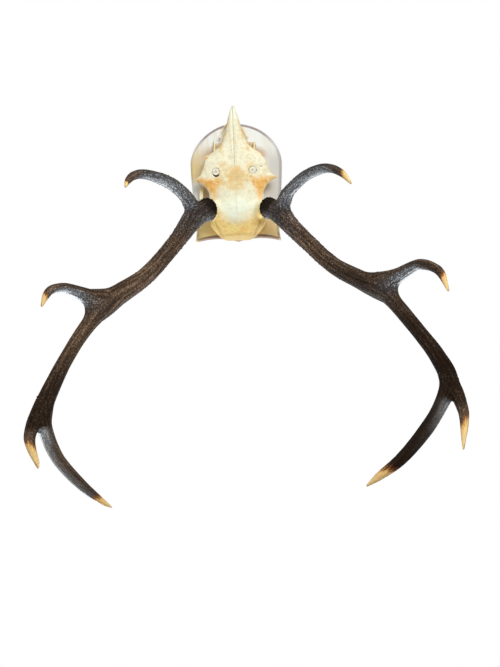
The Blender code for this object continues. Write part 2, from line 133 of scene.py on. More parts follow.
# How much wear and painted sheen each stem carries, and how brown it is under that, by length from its
# root
WEAR_AND_SHEEN_MM = {
    "left": {
        "beam": ((0, 0.5), (25, 0.6), (55, 1.0), (90, 0.7), (138, 0.15), (330, 0.12), (440, 0), (606, 0),
                 (616, 8), (630, 5), (645, 2.1), (665, 1.25), (700, 0.95), (760, 1.0), (793, 0.5)),
        "brow": ((0, 0.9), (49, 1.1), (110, 1.3), (156, 1.35), (191, 0.9), (218, 0.4), (240, 0.1)),
        "tray": ((0, 0.2), (50, 0.9), (80, 1.3), (122, 1.4), (150, 0.7), (171, 0)),
        "front": ((0, 0), (60, 0)),
    },
    "right": {
        "beam": ((0, 0.5), (36, 0.7), (59, 0.9), (88, 0.6), (143, 0.1), (360, 0.15), (430, 0), (594, 0),
                 (604, 2), (630, 1), (664, 0.15), (727, 0)),
        "brow": ((0, 1.0), (55, 1.2), (150, 1.3), (185, 1.3), (205, 0.8), (230, 0.2)),
        "tray": ((0, 0.2), (40, 1.2), (84, 1.5), (107, 1.0), (128, 0.35), (152, 0.05)),
        "front": ((0, 0), (60, 0)),
    },
}
BROWN_MM = {
    "left": {
        "beam": ((0, 0.2), (60, 0.15), (100, 0.5), (138, 0.85), (235, 1.2), (300, 0.8), (397, 0.85),
                 (440, 1.15), (500, 0.55), (544, 0.25), (600, 0.15), (670, 0.7), (793, 0.6)),
        "brow": ((0, 0.2), (100, 0.15), (191, 0.4), (218, 0.8)),
        "tray": ((0, 0.85), (60, 0.6), (120, 0.5), (150, 1), (190, 1)),
        "front": ((0, 0.2), (60, 0.2), (84, 0.9)),
    },
    "right": {
        "beam": ((0, 0.2), (60, 0.2), (100, 0.95), (143, 1.1), (224, 0.5), (305, 0.35), (400, 0.3),
                 (454, 0.2), (533, 0.05), (608, 0.1), (801, 0.12)),
        "brow": ((0, 0.2), (150, 0.2), (205, 0.5)),
        "tray": ((0, 0.4), (107, 0.45), (150, 0.6)),
        "front": ((0, 0.05), (60, 0.25), (84, 0.8)),
    },
}
CAD_NODES = ("beam_lower", "brow_tine", "tray_tine", "beam_upper", "top_front_tine", "top_rear_tine")
# Sets of ridges: how many stand round the stem, and how high
RIDGE_WAVES = ((3, 0.15), (5, 0.3), (8, 0.45), (11, 0.55), (14, 0.55), (19, 0.45))
# The burr's ring of beads: how far up the beam, how wide, and how often the beads swell round it
BURR_PLACE = 6 * MM
BURR_WIDTH = 4.5 * MM
BEAD_WAVES = (11.5, 7)
# Room round the stems in an antler's grid, and how far from its foot the flat cut reaches
ANTLER_ROOM = 30 * MM
ANTLER_CUT_REACH = 45 * MM
# Radius of the roll of grain that the colours of every stem are painted along
GRAIN_RADIUS = 16 * MM

# The skull is measured up from its saw cut, and across from a middle line that slants a little
SAW_PLANE = 20.4 * MM
SKULL_CENTRE_X = 2.0 * MM
SKULL_SLANT = 0.006
# z, half-width of the roof, height of the roof and of its edge, half-width at the saw cut
SKULL_STATIONS_MM = (
    (-166, 2, 13, 9, 1.5), (-150, 8, 17, 12, 6), (-132, 13, 22, 14, 11), (-117, 16, 27, 17, 16),
    (-105, 19, 32, 19, 19), (-92, 24, 37, 23, 25), (-87, 26, 40, 25, 28), (-84, 27, 41, 26, 46),
    (-76, 30, 44, 29, 48), (-64, 40, 48, 34, 51), (-53, 55, 51, 38, 57), (-41, 64, 54, 41, 57),
    (-20, 71, 58, 44, 58), (-7, 77, 60, 43, 64), (0, 87, 61, 38, 72), (8, 79, 62, 41, 66),
    (17, 68, 63, 44, 53), (30, 60, 65, 45, 44), (46, 59, 66, 43, 42), (70, 58, 67, 38, 43),
    (88, 60, 64, 31, 50), (100, 59, 58, 26, 54), (112, 51, 48, 20, 48), (124, 40, 34, 13, 38),
    (131, 30, 17, 6, 29),
)
# The stalk that carries each antler starts inside the skull with these two places
PEDICLE_MM = ((42, 58, 67, 21), (51, 76, 70, 18))
# It ends this far short of the antler, with a neck further back; each with its radius
PEDICLE_END_MM = (0.4, 18.5)
PEDICLE_NECK_MM = (6, 18)
PEDICLE_CUT_REACH = 32 * MM
SCREW_PLACES_MM = {"left_screw": (44, -12), "right_screw": (-35, -13)}
SCREW_SEAT = 73.5 * MM
# The rounds that make up the hole for each screw's head: off the screw across and up, and radius
HEAD_HOLES_MM = {"left_screw": ((0, 0, 7.8), (-0.4, 4.7, 6.8)), "right_screw": ((0, 0.1, 7.8),)}
HOLE_DEPTH_MM = 9
SHANK_HOLE_RADIUS_MM = 2.7


def size(name, description, default, **limits):
    """A length that the user can change."""
    return FloatProperty(
        name=name, description=description, default=default, unit="LENGTH", precision=5, **limits
    )


def tint(name, description, default):
    """A colour that the user can change."""
    return FloatVectorProperty(
        name=name, description=description, default=default, subtype="COLOR"
    )


def power(name, description, default):
    """A light's strength, which the user can change."""
    return FloatProperty(name=name, description=description, default=default, unit="POWER")


CELL_LIMITS = {"min": 0.8 * MM, "max": 5 * MM}


class AntlerSettings(bpy.types.PropertyGroup):
    """Sizes and colours of the two antlers."""

    cell: size("Fineness", "Size of the cells that the bone is modelled in", 1.45 * MM, **CELL_LIMITS)
    ridge_height: size("Ridge height", "Height of the lengthwise ridges on the lower beam", 0.5 * MM)
    burr_flare: size("Burr flare", "How far the burr stands out from the beam", 5.4 * MM)
    pearl_size: size("Pearl size", "Radius of the largest pearls", 1.8 * MM)
    pearl_spacing: size("Pearl spacing", "Least distance between pearls", 3.6 * MM)
    dark: tint("Dark brown", "Colour of the gutters", (0.009, 0.004, 0.002))
    brown: tint("Reddish brown", "Colour of the ridges", (0.215, 0.135, 0.082))
    # Pale grains where the antler carries wear and painted sheen: painted highlights
    silver: tint("Silver", "Colour of the worn grains", (0.74, 0.76, 0.79))
    ivory: tint("Ivory", "Colour of the rubbed tips", (0.88, 0.62, 0.26))


class SkullSettings(bpy.types.PropertyGroup):
    """Sizes and colours of the skull."""

    cell: size("Fineness", "Size of the cells that the bone is modelled in", 1.2 * MM, **CELL_LIMITS)
    bone: tint("Bone", "Colour of the clean bone", (0.89, 0.84, 0.61))
    amber: tint("Amber", "Colour of the stains", (0.87, 0.47, 0.10))
    dome: tint("Dome", "Colour of the bleached brain case", (0.90, 0.92, 0.73))
    straw: tint("Straw", "Colour of the forehead", (0.88, 0.66, 0.29))


class ShieldSettings(bpy.types.PropertyGroup):
    """Sizes and colours of the shield."""

    half_width: size("Half width", "Half the width at the springing of the arch", 100 * MM)
    thickness: size("Thickness", "Thickness of the board", 20 * MM)
    wood: tint("Wood", "Colour of the limed wood", (0.82, 0.84, 0.80))
    grain: tint("Grain", "Colour of the grain lines", (0.68, 0.56, 0.37))
    # Tan towards the top corners, and the ground colour of the painted shadow down the left side
    tan_tone: tint("Yellowed", "Colour where the finish has yellowed", (0.93, 0.71, 0.35))
    # Colour of the painted shade on the rounded edge
    edge: tint("Edge", "Colour of the rounded edge", (0.31, 0.25, 0.23))
    # Colour of the painted shadow beside the muzzle
    muzzle_shadow: tint("Stain", "Colour of the stains beside the skull", (0.46, 0.29, 0.14))


class ScrewSettings(bpy.types.PropertyGroup):
    """Sizes of the two screws."""

    head_radius: size("Head radius", "Radius of the pan head", 7.6 * MM)
    head_height: size("Head height", "Height of the pan head", 3.2 * MM)
    shank_radius: size("Shank radius", "Radius over the thread", 2.2 * MM)
    pitch: size("Thread pitch", "Distance between two turns of the thread", 1.8 * MM)


class StageSettings(bpy.types.PropertyGroup):
    """Floor and lights."""

    floor_drop: size("Floor", "How far the floor lies under the wall fixing", 1.1)
    window_power: power("Window light", "Power of the light beside and below the viewer", 34.0)
    sky_power: power("Sky light", "Power of the light above and behind the antlers", 34.0)
    side_power: power("Side light", "Power of the light above the left antler", 9.0)


def plug(tree, socket, value):
    """Links a socket to another one, or gives it a plain value."""
    if isinstance(value, bpy.types.NodeSocket):
        tree.links.new(value, socket)
    elif socket.type == "RGBA":
        socket.default_value = (*value, 1.0)
    else:
        socket.default_value = value


def make_node(tree, kind, settings, sockets):
    """A node with its settings made first and its sockets then linked or filled."""
    node = tree.nodes.new(kind)
    for name, setting in settings.items():
        setattr(node, name, setting)
    for name, value in sockets.items():
        plug(tree, node.inputs[name], value)
    return node


class Value:
    """A shader socket that takes part in sums."""

    def __init__(self, paint, socket):
        self.paint = paint
        self.socket = socket

    def maths(self, operation, *terms):
        """What one Math node makes of the terms."""
        return self.paint.node("ShaderNodeMath", {"operation": operation}, dict(enumerate(terms)))

    def __add__(self, other):
        return self.maths("ADD", self, other)

    def __radd__(self, other):
        return self.maths("ADD", other, self)

    def __sub__(self, other):
        return self.maths("SUBTRACT", self, other)

    def __rsub__(self, other):
        return self.maths("SUBTRACT", other, self)

    def __mul__(self, other):
        return self.maths("MULTIPLY", self, other)

    def __rmul__(self, other):
        return self.maths("MULTIPLY", other, self)

    def __abs__(self):
        return self.maths("ABSOLUTE", self)


class Paint:
    """A material whose colour, roughness and bump are worked out from sums of nodes.

    Its fixed values, by socket, are the same all over the surface.
    """

    def __init__(self, name, fixed):
        self.material = bpy.data.materials.new(name)
        self.material.use_nodes = True
        self.tree = self.material.node_tree
        self.shader = self.tree.nodes["Principled BSDF"]
        for socket, value in fixed.items():
            self.shader.inputs[socket].default_value = value

    def node(self, kind, settings, sockets, output=0):
        """One output of a new node, as a value."""
        given = {
            name: value.socket if isinstance(value, Value) else value
            for name, value in sockets.items()
        }
        return Value(self, make_node(self.tree, kind, settings, given).outputs[output])

    def place(self):
        """A point of the piece in the shared frame."""
        return self.node("ShaderNodeTexCoord", {}, {}, "Object")

    def attribute(self, name, output="Fac"):
        """A value kept on the points of the piece."""
        return self.node("ShaderNodeAttribute", {"attribute_name": name}, {}, output)

    def parts(self, vector):
        """The three numbers of a vector."""
        split = self.node("ShaderNodeSeparateXYZ", {}, {0: vector}).socket.node
        return [Value(self, output) for output in split.outputs]

    def distance(self, x, y, z):
        """How far a place is from the zero point."""
        place = self.node("ShaderNodeCombineXYZ", {}, {0: x, 1: y, 2: z})
        return self.node("ShaderNodeVectorMath", {"operation": "LENGTH"}, {0: place}, 1)

    def stretched(self, vector, scale):
        """A vector scaled by three numbers."""
        return self.node("ShaderNodeVectorMath", {"operation": "MULTIPLY"}, {0: vector, 1: scale})

    def noise(self, vector, scale, detail=3.0, roughness=0.55, distortion=0.0):
        """Cloudy noise, mostly between 0.3 and 0.7."""
        sockets = {
            "Vector": vector, "Scale": scale, "Detail": detail, "Roughness": roughness,
            "Distortion": distortion,
        }
        return self.node("ShaderNodeTexNoise", {}, sockets)

    def rise(self, value, low, high):
        """0 below low and 1 above high, smooth between; falls if high is the lower one."""
        sockets = {"Value": value, "From Min": low, "From Max": high}
        return self.node("ShaderNodeMapRange", {"interpolation_type": "SMOOTHSTEP"}, sockets)

    def blend(self, share, first, second):
        """From the first number to the second."""
        return first + share * (second - first)

    def mix(self, share, first, second):
        """From the first colour to the second."""
        settings = {"data_type": "RGBA", "clamp_factor": True}
        return self.node("ShaderNodeMix", settings, {0: share, 6: first, 7: second}, 2)

    def layers(self, colour, *coats):
        """A colour with coats of others over it, each given as its share and its colour."""
        for share, coat in coats:
            colour = self.mix(share, colour, coat)
        return colour

    def bump(self, height, distance, strength=1.0, under=None):
        """The surface's direction over small heights, on top of the bump under it."""
        sockets = {"Height": height, "Distance": distance, "Strength": strength}
        if under is not None:
            sockets["Normal"] = under
        return self.node("ShaderNodeBump", {}, sockets)

    def finish(self, looks):
        """The material, with what changes over its surface plugged in by socket."""
        for name, value in looks.items():
            plug(self.tree, self.shader.inputs[name], value.socket)
        return self.material


def through(points, t):
    """A value on the Catmull-Rom curve through the rows of points, t counted in rows."""
    points = np.asarray(points, float)
    i = min(int(t), len(points) - 2)
    f = t - i
    before = points[i - 1] if i > 0 else 2 * points[0] - points[1]
    after = points[i + 2] if i + 2 < len(points) else 2 * points[-1] - points[-2]
    here, there = points[i], points[i + 1]
    return 0.5 * (
        2 * here + (there - before) * f
        + (2 * before - 5 * here + 4 * there - after) * f**2
        + (3 * here - before - 3 * there + after) * f**3
    )


class Stem:
    """The centre line of a beam or tine, with its radius, read by length from its root."""

    def __init__(self, places_mm, step=1.5 * MM):
        count = (len(places_mm) - 1) * 24 + 1
        rows = np.array([through(places_mm, t) for t in np.linspace(0, len(places_mm) - 1, count)])
        rows *= MM
        points = np.stack([rows[:, 0], -rows[:, 1], rows[:, 2]], axis=1)
        spans = np.linalg.norm(np.diff(points, axis=0), axis=1)
        lengths = np.concatenate([[0.0], np.cumsum(spans)])
        self.length = lengths[-1]
        self.lengths = np.linspace(0, self.length, round(self.length / step) + 1)
        self.points = np.stack([np.interp(self.lengths, lengths, c) for c in points.T], axis=1)
        self.radii = np.interp(self.lengths, lengths, rows[:, 3])
        tangents = np.gradient(self.points, self.lengths, axis=0)
        self.tangents = tangents / np.linalg.norm(tangents, axis=1)[:, None]
        normal = np.cross(self.tangents[0], (0.0, 0.0, 1.0))
        normals = []
        for tangent in self.tangents:
            normal = normal - tangent * normal.dot(tangent)
            normal = normal / np.linalg.norm(normal)
            normals.append(normal)
        self.normals = np.array(normals)

    def locate(self, points):
        """Where points lie: how far along the stem, at what angle round it, how far past its
        surface, and which way straight out from the centre line."""
        coarse = slice(None, None, 3)
        centres = self.points[coarse]
        nearest = []
        for part in np.array_split(points, max(1, len(points) // 20000)):
            apart = (part**2).sum(1)[:, None] - 2 * part @ centres.T + (centres**2).sum(1)
            nearest.append(np.argmin(apart, axis=1))
        nearest = np.concatenate(nearest)
        tangents = self.tangents[coarse][nearest]
        along = self.lengths[coarse][nearest] + ((points - centres[nearest]) * tangents).sum(1)
        along = np.clip(along, 0, self.length)
        centre, tangent, across = (
            np.stack([np.interp(along, self.lengths, c) for c in values.T], axis=1)
            for values in (self.points, self.tangents, self.normals)
        )
        out = points - centre
        out -= tangent * (out * tangent).sum(1)[:, None]
        distance = np.linalg.norm(out, axis=1)
        angle = np.arctan2((out * np.cross(tangent, across)).sum(1), (out * across).sum(1))
        past = np.linalg.norm(points - centre, axis=1) - np.interp(along, self.lengths, self.radii)
        return along, angle, past, out / np.maximum(distance, 1e-6)[:, None]


def soft_min(first, second, blend):
    """The smaller of two distances, rounded over where they are within blend of each other."""
    share = np.clip(0.5 + 0.5 * (second - first) / blend, 0, 1)
    return second + (first - second) * share - blend * share * (1 - share)


def soft_max(first, second, blend):
    """The larger of two distances, rounded over in the same way."""
    return -soft_min(-first, -second, blend)


# How far past a stem's surface its distances are worked out
STEM_REACH = 20 * MM


class Solid:
    """A body of bone as distances to its surface on a grid of cells, positive outside."""

    def __init__(self, low, high, cell):
        self.cell = cell
        self.axes = [np.arange(a, b + cell, cell) for a, b in zip(low, high)]
        self.values = np.full([len(axis) for axis in self.axes], FAR, np.float32)

    def window(self, low, high):
        """The grid's slices between two corners, and their coordinates."""
        slices = tuple(
            slice(*np.searchsorted(axis, (a, b))) for axis, a, b in zip(self.axes, low, high)
        )
        x, y, z = (axis[part].astype(np.float32) for axis, part in zip(self.axes, slices))
        return slices, (x[:, None, None], y[None, :, None], z[None, None, :])

    def add_stem(self, stem, blend):
        """Grows a stem onto the body, rounding the fork between them."""
        reach = stem.radii.max() + STEM_REACH
        slices, _ = self.window(stem.points.min(0) - reach, stem.points.max(0) + reach)
        grown = np.full([part.stop - part.start for part in slices], FAR, np.float32)
        for start in range(0, len(stem.points), 8):
            points = stem.points[start:start + 8]
            radii = stem.radii[start:start + 8]
            near, (x, y, z) = self.window(points.min(0) - reach, points.max(0) + reach)
            inner = tuple(slice(a.start - b.start, a.stop - b.start) for a, b in zip(near, slices))
            for (a, b, c), radius in zip(points.astype(np.float32), radii):
                apart = np.sqrt((x - a) ** 2 + (y - b) ** 2 + (z - c) ** 2) - np.float32(radius)
                np.minimum(grown[inner], apart, out=grown[inner])
        self.values[slices] = soft_min(self.values[slices], grown, np.float32(blend))

    def cut_below(self, place, direction, reach):
        """Cuts flat at a place what lies near it on the far side of the direction."""
        slices, (x, y, z) = self.window(place - reach, place + reach)
        a, b, c = direction
        side = (x - place[0]) * a + (y - place[1]) * b + (z - place[2]) * c
        self.values[slices] = np.maximum(self.values[slices], -side)

    def skin(self):
        """The surface as points and quads: one point in each cell that it crosses."""
        inside = self.values < 0
        quads, places = [], []
        for axis in range(3):
            lower = [slice(None)] * 3
            upper = [slice(None)] * 3
            lower[axis] = slice(0, -1)
            upper[axis] = slice(1, None)
            crossed = np.argwhere(inside[tuple(lower)] != inside[tuple(upper)])
            first = self.values[tuple(lower)][tuple(crossed.T)]
            second = self.values[tuple(upper)][tuple(crossed.T)]
            place = crossed.astype(float)
            place[:, axis] += first / (first - second)
            around = []
            for back, side in ((0, 0), (1, 0), (1, 1), (0, 1)):
                cell = crossed.copy()
                cell[:, (axis + 1) % 3] -= back
                cell[:, (axis + 2) % 3] -= side
                around.append(np.ravel_multi_index(tuple(cell.T), self.values.shape))
            around = np.stack(around, axis=1)
            around[first > 0] = around[first > 0][:, ::-1]
            quads.append(around)
            places.append(np.repeat(place, 4, axis=0))
        quads = np.concatenate(quads)
        places = np.concatenate(places)
        index = np.unique(quads.ravel(), return_inverse=True)[1].ravel()
        count = np.bincount(index)
        points = [np.bincount(index, weights=places[:, a]) / count for a in range(3)]
        low = np.array([axis[0] for axis in self.axes])
        return low + self.cell * np.stack(points, axis=1), index.reshape(-1, 4)


def neighbours(quads):
    """The two ends of every edge, both ways round."""
    here, there = quads.ravel(), np.roll(quads, 1, axis=1).ravel()
    return np.concatenate([here, there]), np.concatenate([there, here])


def smoothed(points, quads, rounds):
    """Evens out the steps of the grid and keeps the size."""
    here, there = neighbours(quads)
    count = np.bincount(here, minlength=len(points))[:, None]
    for k in range(2 * rounds):
        mean = np.stack(
            [np.bincount(here, weights=points[there, a], minlength=len(points)) for a in range(3)],
            axis=1,
        ) / count
        points = points + (0.5 if k % 2 == 0 else -0.52) * (mean - points)
    return points


def outward(points, quads):
    """The surface's direction at each point."""
    a, b, c, d = (points[quads[:, k]] for k in range(4))
    flat = np.cross(c - a, d - b)
    total = np.stack(
        [np.bincount(quads.ravel(), weights=np.repeat(flat[:, k], 4)) for k in range(3)], axis=1
    )
    return total / np.maximum(np.linalg.norm(total, axis=1), 1e-12)[:, None]


def bone_object(name, points, quads, marks):
    """A smooth mesh of points and quads, with named values kept on its points."""
    mesh = bpy.data.meshes.new(name)
    leaned = points @ np.array(LEAN).T
    mesh.from_pydata(leaned, [], quads)
    for mark, values in marks.items():
        kind = "FLOAT_VECTOR" if values.ndim == 2 else "FLOAT"
        attribute = mesh.attributes.new(mark, kind, "POINT")
        field = "vector" if values.ndim == 2 else "value"
        attribute.data.foreach_set(field, values.astype(np.float32).ravel())
    mesh.shade_smooth()
    return link(name, mesh)


def link(name, data):
    """A new object in the scene, for a mesh, light or camera."""
    obj = bpy.data.objects.new(name, data)
    bpy.context.scene.collection.objects.link(obj)
    return obj


def keep(obj, material, slot, *nodes):
    """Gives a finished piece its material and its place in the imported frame."""
    obj.data.materials.clear()
    obj.data.materials.append(material)
    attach(obj, "root")
    if nodes:
        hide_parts(*nodes)


def baked(obj, name):
    """The object's mesh with its modifiers done, as a new plain object in its place."""
    graph = bpy.context.evaluated_depsgraph_get()
    mesh = bpy.data.meshes.new_from_object(obj.evaluated_get(graph))
    mesh.name = name
    obj.modifiers.clear()
    bpy.data.objects.remove(obj, do_unlink=True)
    return link(name, mesh)


def ridges(along, angle, seed):
    """Lengthwise ridges and gutters round a stem, from about -1 to 1."""
    rng = np.random.default_rng(seed)
    height = np.zeros_like(along)
    for count, share in RIDGE_WAVES:
        start, sway, drift = rng.uniform((0, 0.8, 0.012), (TURN, 2.2, 0.035))
        turn = count * 1.2 * along
        height += share * np.cos(count * angle + start + turn + sway * np.sin(along / drift + start))
    height /= 1.1
    return height - 0.6 * np.maximum(-height - 0.3, 0)


def shares(found, reach):
    """How far each stem makes up the bone at each point, adding up to 1."""
    near = {name: np.exp(-np.maximum(place[2], 0) / reach) for name, place in found.items()}
    total = sum(near.values())
    return {name: values / total for name, values in near.items()}


def stem_marks(side, name, number, stem, place, normals):
    """What one stem gives to the bone near it: relief, colours and the roll of its grain."""
    along, angle, _, _ = place
    to_tip = (stem.length - along) / (PALE_TIP_MM[side][name] * MM)
    if name == "beam":
        rough = np.interp(along, (0, 60 * MM, 300 * MM, 800 * MM), (1, 1, 0.75, 0.5))
        up = normals @ (0.55 * SIDES[side], 0, 0.8)
    else:
        rough = np.interp(along, (0, 0.3 * stem.length, stem.length), (1, 0.7, 0.2))
        up = normals[:, 2]
    rough = rough * np.clip(to_tip, 0.15, 1)
    even, facing = WEAR_AND_SHEEN_FACING[name]
    silver, brown = (
        np.interp(along / MM, *np.array(table[side][name]).T) for table in (WEAR_AND_SHEEN_MM, BROWN_MM)
    )
    roll = (GRAIN_RADIUS * np.cos(angle), GRAIN_RADIUS * np.sin(angle), along / 7 + 0.3 * number)
    return {
        "relief": rough * ridges(along, angle, 11 * number + len(side)),
        "tip": np.clip(to_tip - 0.22 * SIDES[side] * normals[:, 0], 0, 3),
        "lower": np.clip(1 - along / (PEARLED_MM[name] * MM), 0, 1),
        "grain": np.stack(roll, axis=1),
        # Wear and painted sheen: paler on what faces up, where the light falls
        "silver": silver * np.clip(even + facing * up, 0.04, 1.1),
        "brown": brown,
    }


def antler_shape(side, settings):
    """Points and quads of one antler, with what its material reads from them."""
    stems = {name: Stem(places) for name, places in ANTLERS_MM[side].items()}
    beam = stems["beam"]
    low = np.min([stem.points.min(0) for stem in stems.values()], axis=0) - ANTLER_ROOM
    high = np.max([stem.points.max(0) for stem in stems.values()], axis=0) + ANTLER_ROOM
    body = Solid(low, high, settings.cell)
    body.add_stem(beam, 1 * MM)
    for name, blend in FORK_BLEND_MM.items():
        body.add_stem(stems[name], blend * MM)
    body.cut_below(beam.points[0], beam.tangents[0], ANTLER_CUT_REACH)
    points, quads = body.skin()
    points = smoothed(points, quads, 3)
    normals = outward(points, quads)

    found = {name: stem.locate(points) for name, stem in stems.items()}
    close, wide = shares(found, RELIEF_REACH), shares(found, COLOUR_REACH)
    marks = dict.fromkeys(("relief", "tip", "lower", "grain", "silver", "brown"), 0)
    for number, (name, place) in enumerate(found.items()):
        for mark, values in stem_marks(side, name, number, stems[name], place, normals).items():
            share = wide[name] if mark in ("silver", "brown") else close[name]
            marks[mark] = marks[mark] + (values.T * share).T
    along, angle, past, out = found["beam"]
    on_beam = np.exp(-np.maximum(past, 0) / RELIEF_REACH)
    burr = np.exp(-(((along - BURR_PLACE) / BURR_WIDTH) ** 2)) * on_beam
    many, few = BEAD_WAVES
    beads = 0.55 * np.abs(np.sin(many * angle)) + 0.45 * np.abs(np.sin(few * angle + 1.3))
    end = np.clip(along / (2 * MM), 0, 1)[:, None]
    outer = 1 + 0.3 * out @ (0.8 * SIDES[side], 0, -0.6)
    flare = settings.burr_flare * outer + 2.2 * MM * (beads - 0.6)
    points = points + end * out * (burr * flare)[:, None]
    points = points + end * normals * (settings.ridge_height * marks["relief"] * (1 - burr))[:, None]

    # Painted shade: the burr and the neck of the beam just above it are painted dark, darkest where they
    # face down
    neck = np.clip(2.6 - along / (14 * MM), 0, 1) * on_beam
    underside_shade = neck * np.clip(0.8 - 1.1 * normals[:, 2], 0, 1)
    pearled = 1.1 * marks["lower"] * (1 - underside_shade) * (1 - 0.5 * neck) - 0.1
    marks["lower"] = np.clip(pearled, 0, 1)
    marks["silver"] = marks["silver"] * (1 - underside_shade)
    marks["brown"] = marks["brown"] * (1 - underside_shade) * (1 - 0.8 * neck)
    # Painted highlights: the burr's beads are painted pale, except on their shaded underside
    marks["beads"] = burr * beads * (1 - underside_shade)
    # Where the wear and painted sheen down the rear tines is smooth
    marks["sleek"] = wide["beam"] * np.clip(along / (30 * MM) - 19.5, 0, 1)
    return points, quads, marks


PEARL_INPUTS = (
    ("Geometry", "Geometry"), ("Density", "Float"), ("Spacing", "Float"), ("Least size", "Float"),
    ("Largest size", "Float"), ("Seed", "Int"), ("Material", "Material"),
)
PEARLS_PER_SQUARE_METRE = 300000.0
# A pearl is a little flat, and longer one way than the other
PEARL_SHAPE = (0.85, 1.15, 0.7)


def pearl_tree():
    """Geometry Nodes that scatter rounded pearls over a bone, denser where it is marked."""
    tree = bpy.data.node_groups.new("scatter_pearls", "GeometryNodeTree")
    for name, kind in PEARL_INPUTS:
        tree.interface.new_socket(name, in_out="INPUT", socket_type=f"NodeSocket{kind}")
    tree.interface.new_socket("Geometry", in_out="OUTPUT", socket_type="NodeSocketGeometry")

    def node(kind, sockets, **settings):
        return make_node(tree, f"GeometryNode{kind}", settings, sockets).outputs

    given = make_node(tree, "NodeGroupInput", {}, {}).outputs
    where = node("InputNamedAttribute", {"Name": "lower"}, data_type="FLOAT")
    scattered = node(
        "DistributePointsOnFaces",
        {
            "Mesh": given["Geometry"], "Distance Min": given["Spacing"],
            "Density Max": given["Density"], "Density Factor": where["Attribute"],
            "Seed": given["Seed"],
        },
        distribute_method="POISSON",
    )
    ball = node("MeshIcoSphere", {"Radius": 1.0, "Subdivisions": 1})
    flat = node("Transform", {"Geometry": ball["Mesh"], "Scale": PEARL_SHAPE})
    sizes = {2: given["Least size"], 3: given["Largest size"], "Seed": given["Seed"]}
    chosen = make_node(tree, "FunctionNodeRandomValue", {"data_type": "FLOAT"}, sizes).outputs
    set_on = node("InstanceOnPoints", {
        "Points": scattered["Points"], "Rotation": scattered["Rotation"],
        "Instance": flat["Geometry"], "Scale": chosen[1],
    })
    real = node("RealizeInstances", {"Geometry": set_on["Instances"]})
    smooth = node("SetShadeSmooth", {"Geometry": real["Geometry"]})
    painted = node("SetMaterial", {"Geometry": smooth["Geometry"], "Material": given["Material"]})
    make_node(tree, "NodeGroupOutput", {}, {"Geometry": painted["Geometry"]})
    return tree


def pearls(side, antler, settings, tree, material):
    """The pearls of one antler as a plain mesh."""
    holder = link(f"{side}_antler_pearls_base", antler.data.copy())
    modifier = holder.modifiers.new("pearls", "NODES")
    modifier.node_group = tree
    values = {
        "Density": PEARLS_PER_SQUARE_METRE, "Spacing": settings.pearl_spacing,
        "Least size": 0.45 * settings.pearl_size, "Largest size": settings.pearl_size,
        "Seed": len(side), "Material": material,
    }
    for item in tree.interface.items_tree:
        if item.in_out == "INPUT" and item.name in values:
            modifier[item.identifier] = values[item.name]
    return baked(holder, f"{side}_antler_pearls")


